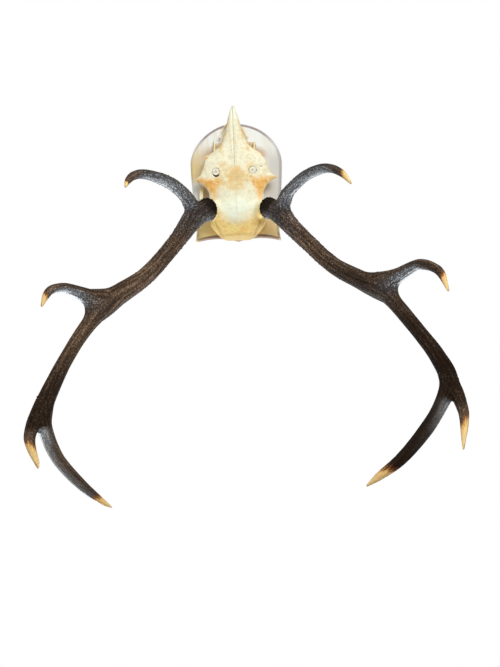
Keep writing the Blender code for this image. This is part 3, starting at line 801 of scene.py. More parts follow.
def antler_paint(side, settings):
    """Dark brown antler, grained all over and ruddy in patches, with rubbed ivory tips, wear and painted
    sheen on what faces up, and painted highlights on the burr's beads.
    """
    paint = Paint(f"{side}_antler", {"Coat Roughness": 0.32, "Specular IOR Level": 0.15})
    place = paint.place()
    grain = paint.attribute("grain", "Vector")
    tip, lower, silver, sleek = (
        paint.attribute(name) for name in ("tip", "lower", "silver", "sleek")
    )
    fibres = paint.noise(grain, 420.0, 4.0, 0.6)
    streaks = paint.noise(paint.stretched(grain, (1.0, 1.0, 2.6)), 300.0, 4.0, 0.6)
    patches = paint.noise(grain, 60.0, 3.0)
    voronoi = {"Vector": place, "Scale": 290.0}
    knobs = paint.node("ShaderNodeTexVoronoi", {"feature": "F1"}, voronoi)
    flecks = paint.noise(place, 320.0, 3.0, 0.7)
    high = paint.rise(paint.attribute("relief") + 0.9 * (streaks - 0.5), -0.6, 0.9)
    speckled = paint.rise(flecks, 0.36, 0.64)
    ruddy = paint.attribute("brown") * (0.55 + 0.9 * paint.rise(patches, 0.36, 0.66))
    warm = ruddy * (0.4 + 0.6 * high) * (0.35 + 0.65 * speckled)

    # Wear and painted sheen: greyish, smoother down the rear tines
    smooth_wear_and_sheen = paint.mix(paint.rise(fibres, 0.3, 0.7), (0.10, 0.10, 0.10), (0.265, 0.26, 0.255))
    wear_and_sheen_tone = paint.mix(sleek, (0.085, 0.088, 0.095), smooth_wear_and_sheen)
    pale = paint.mix(1.9 * silver, [1.5 * c + 0.04 for c in settings.brown], settings.silver)
    # The pale grains: speckles of the bone, and painted highlights where there is wear and sheen
    grains = paint.rise(flecks + 0.06 * silver, 0.50, 0.63) * paint.rise(knobs, 0.75, 0.3)
    grains = grains * (1 - 0.75 * sleek)
    grains = grains * paint.blend(silver, 0.03 + 0.4 * lower + 0.65 * ruddy, 0.9)
    # Painted highlights on the burr's beads
    beads = paint.rise(paint.attribute("beads"), 0.62, 0.85) * speckled

    reach = tip + 0.9 * (paint.noise(grain, 260.0, 3.0, 0.6) - 0.5)
    rust = paint.rise(reach, 1.22, 0.95)
    bare = paint.rise(reach, 0.97, 0.79)
    ivory = paint.layers(
        settings.ivory,
        (paint.rise(fibres, 0.35, 0.7), [0.66 * c for c in settings.ivory]),
        (0.55 * paint.rise(reach, 0.4, 0.95), (0.78, 0.40, 0.12)),
        (0.5 * paint.rise(tip, 0.16, 0.02), (0.30, 0.14, 0.05)),
    )
    colour = paint.layers(
        settings.dark,
        (warm, settings.brown),
        (0.9 * silver, wear_and_sheen_tone),
        (grains * (0.45 + 0.55 * high), pale),
        (0.8 * beads, (0.50, 0.47, 0.43)),
        (rust * paint.rise(fibres, 0.3, 0.6), (0.24, 0.085, 0.02)),
        (bare, ivory),
    )
    worn = 1 - 0.85 * bare
    gloss = paint.rise(silver, 0.1, 1.0)
    lumps = paint.rise(knobs, 0.75, 0.1) * (0.5 + 0.5 * lower) * worn
    fine = paint.bump(lumps + 0.5 * flecks, 0.0014, 0.75)
    return paint.finish({
        "Base Color": colour,
        "Roughness": 0.80 - 0.38 * gloss + 0.18 * (streaks - 0.5) - 0.33 * bare,
        "Coat Weight": 0.8 * silver * worn,
        "Normal": paint.bump(fibres, 0.0008, 0.3, fine),
    })


def pearl_paint(settings):
    """Pearls are worn a little paler than the bone round them, and take the antler's wear and painted
    sheen.
    """
    paint = Paint("antler_pearls", {"Roughness": 0.36})
    place = paint.place()
    patches = paint.rise(paint.noise(place, 38.0, 2.0), 0.42, 0.66)
    each = paint.rise(paint.noise(place, 330.0, 1.0), 0.45, 0.7)
    warm = paint.rise(paint.attribute("brown"), 0.0, 0.7)
    pale = (0.25 + 0.75 * patches) * (0.2 + 0.8 * each) * warm
    colour = paint.layers(
        [0.11 * c + 0.004 for c in settings.brown],
        (pale, [2.0 * c + 0.05 for c in settings.brown]),
        # wear and painted sheen, as on the antler
        (paint.attribute("silver"), paint.mix(each, (0.08, 0.08, 0.085), settings.silver)),
    )
    bump = paint.bump(paint.noise(place, 900.0, 2.0), 0.0002, 0.4)
    return paint.finish({"Base Color": colour, "Normal": bump})


class TROPHY_OT_antlers(bpy.types.Operator):
    """Grow the two antlers with their burrs, forks, ridges and pearls"""

    bl_idname = "trophy.antlers"
    bl_label = "Antlers"

    def execute(self, context):
        settings = context.scene.trophy_antlers
        tree = pearl_tree()
        pearl_material = pearl_paint(settings)
        for side in ANTLERS_MM:
            points, quads, marks = antler_shape(side, settings)
            antler = bone_object(f"{side}_antler", points, quads, marks)
            grown = pearls(side, antler, settings, tree, pearl_material)
            nodes = [f"{side}_{node}" for node in CAD_NODES]
            keep(antler, antler_paint(side, settings), "antler_bone", *nodes)
            keep(grown, pearl_material, "antler_bone")
            if not grown.data.polygons:
                raise RuntimeError(f"the {side} antler has no pearls")
        return {"FINISHED"}


def station_curves(z):
    """Roof half-width, crest, edge and foot of the skull at each z, in metres."""
    rows = np.array(SKULL_STATIONS_MM, float)
    t = np.interp(z / MM, rows[:, 0], np.arange(len(rows)))
    values = np.array([through(rows, v)[1:] for v in t]) * MM
    return np.maximum(values, 0.8 * MM).T


def hill(x, z, place_mm, size_mm):
    """A round hump over a place on the skull, 1 at its middle."""
    across, along = ((v - place_mm[i] * MM) / (size_mm[i] * MM) for i, v in enumerate((x, z)))
    return np.exp(-(across**2) - along**2)


def near_line(x, z, path_mm, width_mm):
    """1 on a path over the skull and falling to 0 a few widths away from it."""
    apart = np.full(np.broadcast_shapes(np.shape(x), np.shape(z)), FAR, np.float32)
    path = np.array(path_mm, float) * MM
    for (ax, az), (bx, bz) in zip(path, path[1:]):
        long = (bx - ax) ** 2 + (bz - az) ** 2
        share = np.clip(((x - ax) * (bx - ax) + (z - az) * (bz - az)) / long, 0, 1)
        aside = (x - ax - share * (bx - ax)) ** 2 + (z - az - share * (bz - az)) ** 2
        apart = np.minimum(apart, aside)
    return np.exp(-apart / (width_mm * MM) ** 2)


# Two corners of the box that the skull's grid fills
SKULL_BOX_MM = ((-105, -122, -172), (108, -17, 139))
# Front and back ends of the skull, as z and how softly each is rounded
SKULL_ENDS_MM = ((-166, 3), (131, 8))
# Humps and dents of the roof: |x|, z, half-size across, half-size along, height
SKULL_HUMPS_MM = (
    (0, 72, 40, 30, 2.4), (0, 30, 14, 40, -1.0), (0, -13, 12, 9, 1.6), (26, 5, 16, 22, 1.2),
    (50, -14, 14, 14, -1.2), (16, -62, 7, 20, -1.0), (47, 28, 9, 22, -1.5), (26, 104, 9, 9, 1.0),
    (0, 112, 10, 10, -1.5), (60, -30, 12, 12, 1.5), (68, -6, 7, 6, -1.2), (20, 60, 16, 12, 0.8),
)
# Lines over the skull, as |x| and z
NASAL_GROOVE_MM = ((0.8, -160), (1.0, -70), (0.9, -24))
NASAL_RIDGE_MM = ((4, -150), (6.5, -110), (5, -65), (2.5, -30))
NASAL_SEAM_MM = ((12, -138), (14.2, -120), (10.9, -87), (7.5, -58), (1.8, -28))
CREST_GROOVE_MM = ((48, 94), (46.5, 100), (41.2, 111), (33, 125))
CREST_RIDGE_MM = ((60, 90), (57, 103), (49, 115), (38, 127))
# Each line's width and the height of its ridge or groove
SKULL_LINES_MM = (
    (NASAL_GROOVE_MM, 1.5, -0.9), (NASAL_RIDGE_MM, 3.2, 1.2), (NASAL_SEAM_MM, 1.3, -0.6),
    (CREST_GROOVE_MM, 2.6, -1.8), (CREST_RIDGE_MM, 4.0, 1.6),
)
# Beyond the muzzle's edge the cheek is broken down to a ragged ledge between these two z
BROKEN_CHEEK_MM = (-97, -52)
LEDGE_HEIGHT = 4 * MM
MUZZLE_LIP = 1.2 * MM
# Hollows in both sides, as |x|, z and height: middle, half-sizes and softness of the rim
HOLLOWS_MM = (((73, -21, 15), (33, 21, 22), 5), ((78, 40, 14), (29, 24, 20), 8))
# Splinters and knobs as points (x, z, height, radius), and how softly each joins the bone
SPLINTERS_MM = (
    (((16, -125, 9, 1.6), (20.5, -119, 9, 1.6), (25.5, -109, 9, 1.8), (31, -95, 12, 2.2)), 1),
    (((-13, -124, 9, 1.6), (-16, -118, 9, 1.6), (-21.5, -108, 9, 1.8), (-30, -93, 12, 2.2)), 1),
    (((44, -88, 4, 2.4), (43.5, -84, 12, 1.9), (44.5, -66, 20, 1.9), (42, -58, 30, 2.5)), 1.5),
    (((-44, -84, 4, 2.4), (-43.5, -81, 12, 1.9), (-43, -69, 20, 1.9), (-42, -60, 30, 2.5)), 1.5),
    (((58, -51, 34, 3.2), (62.5, -48, 34, 2.8), (66.5, -43.5, 33, 2.2)), 2),
    (((84, -1, 36, 3), (88, 0, 36, 2.5)), 4),
    (((-84, -1, 36, 3), (-88, 0, 36, 2.5)), 4),
)
# The plank of bone beside the left burr: corners as (x, z), height and softness
PLANK_MM = (((71, 15), (80, 14), (82.5, 40), (74.5, 41)), 22, 4)
SPLINTER_STEP = 0.7 * MM
# Small holes in the roof: x, z, radius and height of the floor
PITS_MM = (
    (65, -42.5, 1.5, 28), (39.4, 12.9, 1.8, 57), (38.6, 17.5, 1.3, 57), (-37.7, 13.9, 1.8, 57),
    (-37.5, 19.2, 1.6, 57), (-55.4, -19.9, 1.5, 48), (-37.5, -1.0, 1.0, 56), (-33.0, 1.5, 1.0, 56),
)
PIT_SOFTNESS = 0.8 * MM


class Skull(Solid):
    """The skull's bone, measured across from its middle line and up from its saw cut."""

    def __init__(self, cell):
        low, high = (np.array(corner) * MM for corner in SKULL_BOX_MM)
        super().__init__(low, high, cell)
        xs, ys, zs = self.axes
        self.z = zs[None, None, :].astype(np.float32)
        self.x = (xs[:, None, None] - (SKULL_CENTRE_X - SKULL_SLANT * self.z)).astype(np.float32)
        self.height = (-SAW_PLANE - ys)[None, :, None].astype(np.float32)

    def arched(self):
        """Starts the bone: an arched roof over leaning walls, with the cheeks broken down."""
        x, z, height = self.x, self.z, self.height
        roof, crest, edge, foot = (
            values[None, None, :].astype(np.float32) for values in station_curves(self.axes[2])
        )
        raised = height
        for across, along, wide, long, rise in SKULL_HUMPS_MM:
            raised = raised - rise * MM * hill(np.abs(x), z, (across, along), (wide, long))
        for path, width, rise in SKULL_LINES_MM:
            raised = raised - rise * MM * near_line(np.abs(x), z, path, width)
        high = np.maximum(raised - edge, 0)
        arch = np.maximum(crest - edge, 2 * MM)
        reach = np.sqrt((x / roof) ** 2 + (high / arch) ** 2)
        slope = np.sqrt(x**2 / roof**4 + high**2 / arch**4)
        over = (reach - 1) * reach / np.maximum(slope, 1.0)
        share = np.clip(height / edge, 0, 1) ** 1.5
        wall = np.abs(x) - (foot + (roof - foot) * share)
        bone = np.where(raised > edge, over, wall)
        ragged = 1.4 * MM * (np.sin(z / (1.9 * MM)) + np.sin(z / (3.1 * MM) + 40 * x / MM))
        start, end = (v * MM for v in BROKEN_CHEEK_MM)
        broken = np.minimum(np.abs(x) - roof - MUZZLE_LIP, height - LEDGE_HEIGHT - ragged)
        broken = np.minimum(np.minimum(broken, z - start), end - z)
        bone = soft_max(bone, broken, 1.5 * MM)
        (front, front_round), (back, back_round) = SKULL_ENDS_MM
        bone = soft_max(bone, z - back * MM, back_round * MM)
        bone = soft_max(bone, front * MM - z, front_round * MM)
        self.values = np.maximum(bone, -height).astype(np.float32)

    def stalk(self, side):
        """Grows the stalk that carries one antler, up to the antler's first place."""
        beam = Stem(ANTLERS_MM[side]["beam"])
        start = np.array(ANTLERS_MM[side]["beam"][0][:3], float)
        outgoing = beam.tangents[0] * (1, -1, 1)
        (gap, end_radius), (back, neck_radius) = PEDICLE_END_MM, PEDICLE_NECK_MM
        end = start - outgoing * gap
        neck = end - outgoing * back
        centre = SKULL_CENTRE_X / MM
        inner = [(SIDES[side] * x + centre, y, z, radius) for x, y, z, radius in PEDICLE_MM]
        self.add_stem(Stem((*inner, (*neck, neck_radius), (*end, end_radius))), 10 * MM)
        base = np.array((end[0], -end[1], end[2])) * MM
        self.cut_below(base, -beam.tangents[0], PEDICLE_CUT_REACH)

    def sink(self, hole, blend):
        """Takes out a hole, given as the distance to its wall, negative inside it."""
        self.values = soft_max(self.values, -hole, blend).astype(np.float32)

    def hollow(self, middle_mm, half_mm, blend):
        """Sinks an ellipsoid in both sides."""
        (a, b, c), (sa, sb, sc) = np.array(middle_mm) * MM, np.array(half_mm) * MM
        u, v, w = (np.abs(self.x) - a) / sa, (self.z - b) / sb, (self.height - c) / sc
        reach = np.sqrt(u**2 + v**2 + w**2)
        slope = np.sqrt((u / sa) ** 2 + (v / sb) ** 2 + (w / sc) ** 2)
        self.sink((reach - 1) * reach / np.maximum(slope, 1.0), blend * MM)

    def splinter(self, path_mm, blend):
        """Adds a splinter or knob along a path."""
        rows = [
            (x + SKULL_CENTRE_X / MM - SKULL_SLANT * z, height + SAW_PLANE / MM, z, radius)
            for x, z, height, radius in path_mm
        ]
        self.add_stem(Stem(rows, SPLINTER_STEP), blend * MM)

    def plank(self, corners_mm, top, blend):
        """Adds a plate that stands on the shield."""
        corners = np.array(corners_mm, float) * MM
        sides = -FAR
        for (ax, az), (bx, bz) in zip(corners, np.roll(corners, -1, axis=0)):
            across = (self.x - ax) * (bz - az) - (self.z - az) * (bx - ax)
            sides = np.maximum(sides, across / np.hypot(bx - ax, bz - az))
        plate = np.maximum(sides, np.maximum(self.height - top * MM, -self.height))
        self.values = soft_min(self.values, plate, blend * MM).astype(np.float32)

    def pit(self, x, z, radius, floor):
        """Drills a small round hole in the roof."""
        around = np.sqrt((self.x - x * MM) ** 2 + (self.z - z * MM) ** 2) - radius * MM
        self.sink(np.maximum(around, floor * MM - self.height), PIT_SOFTNESS)

    def screw_hole(self, name):
        """Drills the sunk hole for a screw's head and the narrow one for its shank."""
        x, z = SCREW_PLACES_MM[name]
        x = x - (SKULL_CENTRE_X / MM - SKULL_SLANT * z)
        floor = (SCREW_SEAT - SAW_PLANE) / MM - HOLE_DEPTH_MM
        for aside, up, radius in HEAD_HOLES_MM[name]:
            self.pit(x + aside, z + up, radius, floor)
        self.pit(x, z, SHANK_HOLE_RADIUS_MM, -2)


def skull_body(settings):
    """The skull with its stalks, hollows, splinters and holes."""
    body = Skull(settings.cell)
    body.arched()
    for side in SIDES:
        body.stalk(side)
    for middle, half, blend in HOLLOWS_MM:
        body.hollow(middle, half, blend)
    for path, blend in SPLINTERS_MM:
        body.splinter(path, blend)
    body.plank(*PLANK_MM)
    for pit in PITS_MM:
        body.pit(*pit)
    for name in SCREW_PLACES_MM:
        body.screw_hole(name)
    body.values = np.maximum(body.values, -body.height).astype(np.float32)
    return body


# Stains of the bone: |x|, z, half-size across, half-size along, strength
AMBER_MM = (
    (60, 12, 18, 10, 0.85), (50, 22, 14, 18, 0.95), (80, 4, 12, 6, 0.9), (2, -13, 9, 7, 0.4),
    (62, 94, 9, 13, 0.45), (53, 108, 11, 11, 0.4), (42, 121, 11, 8, 0.5), (0, 133, 40, 10, 0.8),
    (37, 12, 8, 9, 0.5), (44, -72, 4, 20, 0.45), (56, -62, 9, 12, 0.8), (62, -46, 5, 4, 0.9),
    (34, -92, 5, 8, 0.6), (24, 122, 16, 7, 0.7), (12, 2, 7, 12, 0.35), (50, 44, 6, 12, 0.5),
)
# The straw entry at |x| 13, z -135 paints the yellowish shade down the sides of the nose
STRAW_MM = (
    (4, 0, 15, 16, 0.9), (32, 6, 14, 12, 0.7), (30, -22, 10, 20, 0.4), (0, 118, 50, 22, 1.0),
    (0, 22, 24, 13, 0.6), (30, -70, 6, 24, 0.7), (13, -135, 4, 24, 0.8), (20, -105, 6, 22, 0.8),
    (0, -14, 16, 12, 0.7), (66, -22, 8, 14, 0.4), (54, 92, 14, 16, 0.9),
)
# Radius of the ring of grime and painted shade round each screw
GRIME_AND_SHADE_RING_MM = 8.3
# How strongly the crown's seam and the gold behind it bend, per metre across
CROWN_BEND = 15.5


def skull_shape(settings):
    """Points and quads of the skull, with where its stains and its painted shade lie."""
    points, quads = skull_body(settings).skin()
    points = smoothed(points, quads, 2)
    z = points[:, 2]
    x = points[:, 0] - (SKULL_CENTRE_X - SKULL_SLANT * z)
    height = -SAW_PLANE - points[:, 1]
    marks = {}
    for name, places in (("amber", AMBER_MM), ("straw", STRAW_MM)):
        clean = np.ones(len(points))
        for across, along, wide, long, strength in places:
            clean *= 1 - strength * hill(np.abs(x), z, (across, along), (wide, long))
        marks[name] = 1 - clean
    tip = hill(x, z, (0, -150), (9, 36))
    marks["dome"] = np.clip(1.35 * hill(x, z, (0, 73), (44, 27)) + 0.8 * tip, 0, 1)
    marks["rim"] = np.clip((z - 116 * MM) / (10 * MM), 0, 1)
    # Painted shade: bone low down by the shield is darkened, most towards the muzzle
    marks["deep"] = np.clip(1 - height / (14 * MM), 0, 1) * np.clip(0.5 - z / (30 * MM), 0.15, 1)
    marks["across"] = x
    # Painted shade in the groove inside the crest
    marks["crease"] = near_line(np.abs(x), z, CREST_GROOVE_MM, 2.2)
    grime = np.zeros(len(points))
    for screw_x, screw_z in SCREW_PLACES_MM.values():
        around = np.hypot(points[:, 0] - screw_x * MM, z - screw_z * MM)
        grime = np.maximum(grime, np.exp(-((around / MM - GRIME_AND_SHADE_RING_MM) ** 2)))
    # Painted shadow: the low wall of the left screw's second head hole is marked to be painted near
    # black
    left_x, left_z = SCREW_PLACES_MM["left_screw"]
    aside, up, radius = HEAD_HOLES_MM["left_screw"][1]
    pocket = np.hypot(points[:, 0] - (left_x + aside) * MM, z - (left_z + up) * MM)
    shaded = (pocket < (radius + 0.6) * MM) & (z > (left_z + 3) * MM) & (height < 54.5 * MM)
    grime[shaded] = 2
    marks["grime"] = grime
    return points, quads, marks


def bone_seams(paint, place, across, z):
    """Where the bone's grey seams run: along the nose, round the nasals and over the crown."""
    wander = 0.0022 * (paint.noise(place, 300.0, 3.0) - 0.5)
    middle = abs(across - 0.0008 + wander)
    nose = paint.rise(middle, 0.0013, 0.0003) * paint.rise(z, -0.018, -0.026)
    nasal = paint.rise(abs(abs(across) + 0.129 * z + 0.0012 + wander), 0.0010, 0.0002)
    nasal = nasal * paint.rise(z, -0.02, -0.035) * paint.rise(z, -0.135, -0.12)
    crown = paint.rise(middle, 0.0012, 0.0003) * paint.rise(z, 0.02, 0.03) * paint.rise(z, 0.09, 0.07)
    curve = abs(z - 0.105 + CROWN_BEND * across * across + 3.0 * wander)
    bow = paint.rise(curve, 0.0013, 0.0003) * paint.rise(abs(across), 0.052, 0.045)
    return 0.75 * nose + 0.2 * nasal + 0.3 * crown + 0.06 * bow


def skull_paint(settings):
    """Bleached bone with amber stains, fine pores, grey seams, grime at the screws, and painted shade at
    the screws, low down and in the crest's groove.
    """
    paint = Paint("bleached_bone", {"Specular IOR Level": 0.25})
    place = paint.place()
    z = paint.parts(place)[2]
    across, amber, straw, dome, rim, crease, deep, grime = (
        paint.attribute(name)
        for name in ("across", "amber", "straw", "dome", "rim", "crease", "deep", "grime")
    )
    cloud = paint.noise(place, 45.0, 4.0, 0.6)
    mottle = paint.noise(place, 130.0, 4.0, 0.65)
    streak = paint.noise(paint.stretched(place, (1.0, 1.0, 0.22)), 240.0, 4.0, 0.6)
    pores = paint.noise(place, 620.0, 2.0, 0.6)
    shade = paint.rise(mottle, 0.36, 0.68)
    blotches = paint.rise(paint.noise(place, 85.0, 4.0, 0.65), 0.52, 0.66)
    yellow = straw + 1.4 * (cloud - 0.5) + 0.8 * (mottle - 0.5)
    tan = paint.rise(yellow, 0.1, 1.05) * (0.55 + 0.45 * shade) * paint.rise(z, 0.06, 0.03)
    pale = paint.rise(dome + 0.35 * (mottle - 0.5) + 1.2 * (cloud - 0.5), 0.1, 0.95)
    green = paint.rise(mottle, 0.5, 0.68) * dome
    stained = paint.rise(amber + 0.7 * (mottle - 0.5) + 0.9 * (cloud - 0.5), 0.05, 1.0)
    rusty = paint.rise(amber * mottle + 0.2 * (streak - 0.5), 0.36, 0.62)
    wrinkled = paint.noise(place, 110.0, 5.0, 0.6, 1.2)
    veins = paint.rise(abs(wrinkled - 0.5), 0.03, 0.0) * (0.25 + 0.75 * paint.rise(straw, 0.2, 0.7))
    seams = bone_seams(paint, place, across, z)
    honey = paint.rise(z + CROWN_BEND * across * across + 0.03 * (cloud - 0.5), 0.080, 0.117)
    gold = paint.mix(paint.rise(mottle, 0.42, 0.62), (1.0, 0.75, 0.24), (0.93, 0.55, 0.13))
    specks = paint.rise(pores, 0.66, 0.78)
    # Grime with painted shade in the ring round each screw, broken up by the pores
    dirt = paint.rise(grime + 2.4 * (pores - 0.5), 0.72, 1.0)
    colour = paint.layers(
        settings.bone,
        (shade, [0.86 * c for c in settings.bone]),
        (0.35 * blotches, (0.66, 0.58, 0.33)),
        (0.9 * paint.rise(yellow, 0.05, 0.95), settings.straw),
        (0.95 * tan, (0.69, 0.51, 0.26)),
        (pale, settings.dome),
        (0.4 * green, (0.66, 0.70, 0.48)),
        (0.9 * stained, settings.amber),
        (0.6 * rusty, (0.66, 0.27, 0.06)),
        (0.38 * veins, (0.60, 0.34, 0.12)),
        (0.7 * seams, (0.27, 0.21, 0.12)),
        (0.85 * honey * paint.rise(z, 0.05, 0.07), gold),
        (0.75 * rim, (0.58, 0.37, 0.08)),
        # painted shade in the crest's groove
        (0.6 * crease, (0.56, 0.30, 0.05)),
        (0.3 * specks, (0.38, 0.24, 0.10)),
        # painted shade low down by the shield
        (0.6 * deep, (0.34, 0.19, 0.08)),
        (0.72 * dirt, (0.12, 0.10, 0.06)),
        # painted shadow on the wall of the left screw's hole
        (paint.rise(grime, 1.2, 1.6), (0.012, 0.009, 0.006)),
    )
    fine = paint.bump(pores - 0.5 * specks, 0.0004, 0.35)
    relief = 0.5 * mottle + 0.3 * streak - 0.7 * seams - 0.5 * dirt
    return paint.finish({
        "Base Color": colour,
        "Roughness": 0.5 + 0.25 * (pores - 0.5) - 0.08 * dome,
        "Normal": paint.bump(relief, 0.0012, 0.5, fine),
    })


class TROPHY_OT_skull(bpy.types.Operator):
    """Build the sawn skull with its stalks, hollows, seams and stains"""

    bl_idname = "trophy.skull"
    bl_label = "Skull"

    def execute(self, context):
        settings = context.scene.trophy_skull
        points, quads, marks = skull_shape(settings)
        skull = bone_object("skull_bone", points, quads, marks)
        keep(skull, skull_paint(settings), "skull_bone", "skull")
        return {"FINISHED"}


def bridge(bm, rings):
    """Closes a row of equally long vertex rings into one body."""
    for first, second in zip(rings, rings[1:]):
        for i in range(len(first)):
            j = (i + 1) % len(first)
            bm.faces.new((first[i], first[j], second[j], second[i]))
    bm.faces.new(rings[0])
    bm.faces.new(rings[-1])


def mesh_object(name, bm, sharp_degrees):
    """The bmesh as an object with outward faces, smooth up to an angle."""
    bmesh.ops.recalc_face_normals(bm, faces=bm.faces)
    mesh = bpy.data.meshes.new(name)
    bm.to_mesh(mesh)
    bm.free()
    mesh.shade_smooth()
    mesh.set_sharp_from_angle(angle=math.radians(sharp_degrees))
    return link(name, mesh)


def cut(obj, bm):
    """Takes the bmesh's body out of the object."""
    cutter = mesh_object(f"{obj.name}_cutter", bm, 30)
    modifier = obj.modifiers.new(cutter.name, "BOOLEAN")
    modifier.operation = "DIFFERENCE"
    modifier.solver = "EXACT"
    modifier.object = cutter
    return cutter


def finished(obj, cutters):
    """The object with its cuts made, as a plain mesh."""
    name = obj.name
    obj.name = f"{name}_base"
    whole = baked(obj, name)
    whole.data.set_sharp_from_angle(angle=math.radians(35))
    for cutter in cutters:
        bpy.data.objects.remove(cutter, do_unlink=True)
    return whole


# Half the width and z of the waist, and where the arch springs from the straight sides
SHIELD_WAIST_MM = (91, 104)
SHIELD_SPRINGING = -40 * MM
# For the animal's left and right: how much wider than drawn, height and fullness of the arch
SHIELD_HALVES = ((2.4 * MM, 91 * MM, 1.84), (0.6 * MM, 89 * MM, 1.93))
# Half the width of the top, z of its middle, and how much higher its corners stand
SHIELD_TOP_MM = (95, 124.5, 7)
ARCH_SPANS = 48
SIDE_SPANS = 16
CORNER_SPANS = 8
TOP_SPANS = 32
# How far the rounded edge reaches in over the face and down the side
EDGE_ROUND_MM = (7.5, 7)
EDGE_STEPS = 9
EDGE_CHAMFER = 0.8 * MM
# Where shadow is painted on the wood beside the muzzle, as x, z and radius
MUZZLE_SHADOWS_MM = ((54, -54, 34), (-50, -58, 24))
# The keyhole in the back: z and radius of its hole and of its slot's end
HANGER_MM = {"hole": (84, 5), "slot": (100, 2.5), "depth": 9}
HANGER_SPANS = {"hole": 24, "slot": 12}
PILOT_RADIUS = 2.7 * MM
PILOT_FLOOR = 7 * MM
PILOT_SIDES = 20


def half_outline(half_width, inset, wider, arch_height, power):
    """(x, z) points up one side of the shield, from the arch's point to the middle of the top."""
    wide = half_width + wider - inset
    half = []
    for k in range(ARCH_SPANS + 1):
        x = math.sin(math.pi / 2 * k / ARCH_SPANS)
        fall = (1 - x**power) ** (1 / power)
        half.append((wide * x, SHIELD_SPRINGING - (arch_height - inset) * fall))
    waist, waist_z = (v * MM for v in SHIELD_WAIST_MM)
    waist += 0.7 * wider
    for k in range(1, SIDE_SPANS + 1):
        f = k / SIDE_SPANS
        x = wide + (waist - half_width - wider) * f**1.4
        half.append((x, SHIELD_SPRINGING + (waist_z - SHIELD_SPRINGING) * f))
    top, top_z, rise = (v * MM for v in SHIELD_TOP_MM)
    corner_z = top_z + rise - inset
    for k in range(1, CORNER_SPANS):
        f = k / CORNER_SPANS
        half.append((waist - inset + (top - waist) * f**2, waist_z + (corner_z - waist_z) * f))
    for k in range(TOP_SPANS + 1):
        u = 1 - k / TOP_SPANS
        half.append(((top - inset) * u, top_z - inset + rise * (2 * u - 1) ** 2))
    return half


def shield_outline(half_width, inset):
    """(x, z) points round the shield: a blunt pointed arch below, flared corners above."""
    left, right = (half_outline(half_width, inset, *shape) for shape in SHIELD_HALVES)
    return left + [(-x, z) for x, z in reversed(right[1:-1])]


def rod(x, z, near, far, radius, sides):
    """A round bar along Y between two distances from the wall."""
    bm = bmesh.new()
    place = Matrix.Translation((x, -(near + far) / 2, z)) @ Matrix.Rotation(math.pi / 2, 4, "X")
    bmesh.ops.create_cone(
        bm, cap_ends=True, segments=sides, radius1=radius, radius2=radius, depth=far - near,
        matrix=place,
    )
    return bm


def prism(outline, near, far):
    """An outline of (x, z) points, drawn out between two distances from the wall."""
    bm = bmesh.new()
    bridge(bm, [[bm.verts.new((x, -y, z)) for x, z in outline] for y in (near, far)])
    return bm


def arc(z, radius, start, turn, steps):
    """(x, z) points along part of a circle round a point of the shield's middle line."""
    angles = [start + turn * k / steps for k in range(steps + 1)]
    return [(radius * math.cos(angle), z + radius * math.sin(angle)) for angle in angles]


def keyhole_outline():
    """(x, z) points round the keyhole: a round hole that opens upwards into a slot."""
    hole_z, hole_r = (v * MM for v in HANGER_MM["hole"])
    slot_z, slot_r = (v * MM for v in HANGER_MM["slot"])
    turn = math.asin(slot_r / hole_r)
    hole = arc(hole_z, hole_r, math.pi / 2 + turn, TURN - 2 * turn, HANGER_SPANS["hole"])
    return hole + arc(slot_z, slot_r, 0, math.pi, HANGER_SPANS["slot"])


def shield_board(settings):
    """The board with its rounded edge, pilot holes and the keyhole slot of its back."""
    thick = settings.thickness
    bm = bmesh.new()
    inwards, down = (v * MM for v in EDGE_ROUND_MM)
    profile = [(EDGE_CHAMFER, 0.0), (0.0, EDGE_CHAMFER)]
    for k in range(EDGE_STEPS + 1):
        angle = math.pi / 2 * k / EDGE_STEPS
        profile.append((inwards * (1 - math.cos(angle)), thick - down * (1 - math.sin(angle))))
    mark = bm.verts.layers.float.new("edge")
    rings = []
    for inset, out in profile:
        outline = shield_outline(settings.half_width, inset)
        rings.append([bm.verts.new((x, -out, z)) for x, z in outline])
        for vert in rings[-1]:
            vert[mark] = 0 if out == 0 else 1 - inset / inwards
    bridge(bm, rings)
    board = mesh_object("shield_board", bm, 40)
    cutters = []
    for x, z in SCREW_PLACES_MM.values():
        pilot = rod(x * MM, z * MM, PILOT_FLOOR, thick + MM, PILOT_RADIUS, PILOT_SIDES)
        cutters.append(cut(board, pilot))
    cutters.append(cut(board, prism(keyhole_outline(), -MM, HANGER_MM["depth"] * MM)))
    return finished(board, cutters)


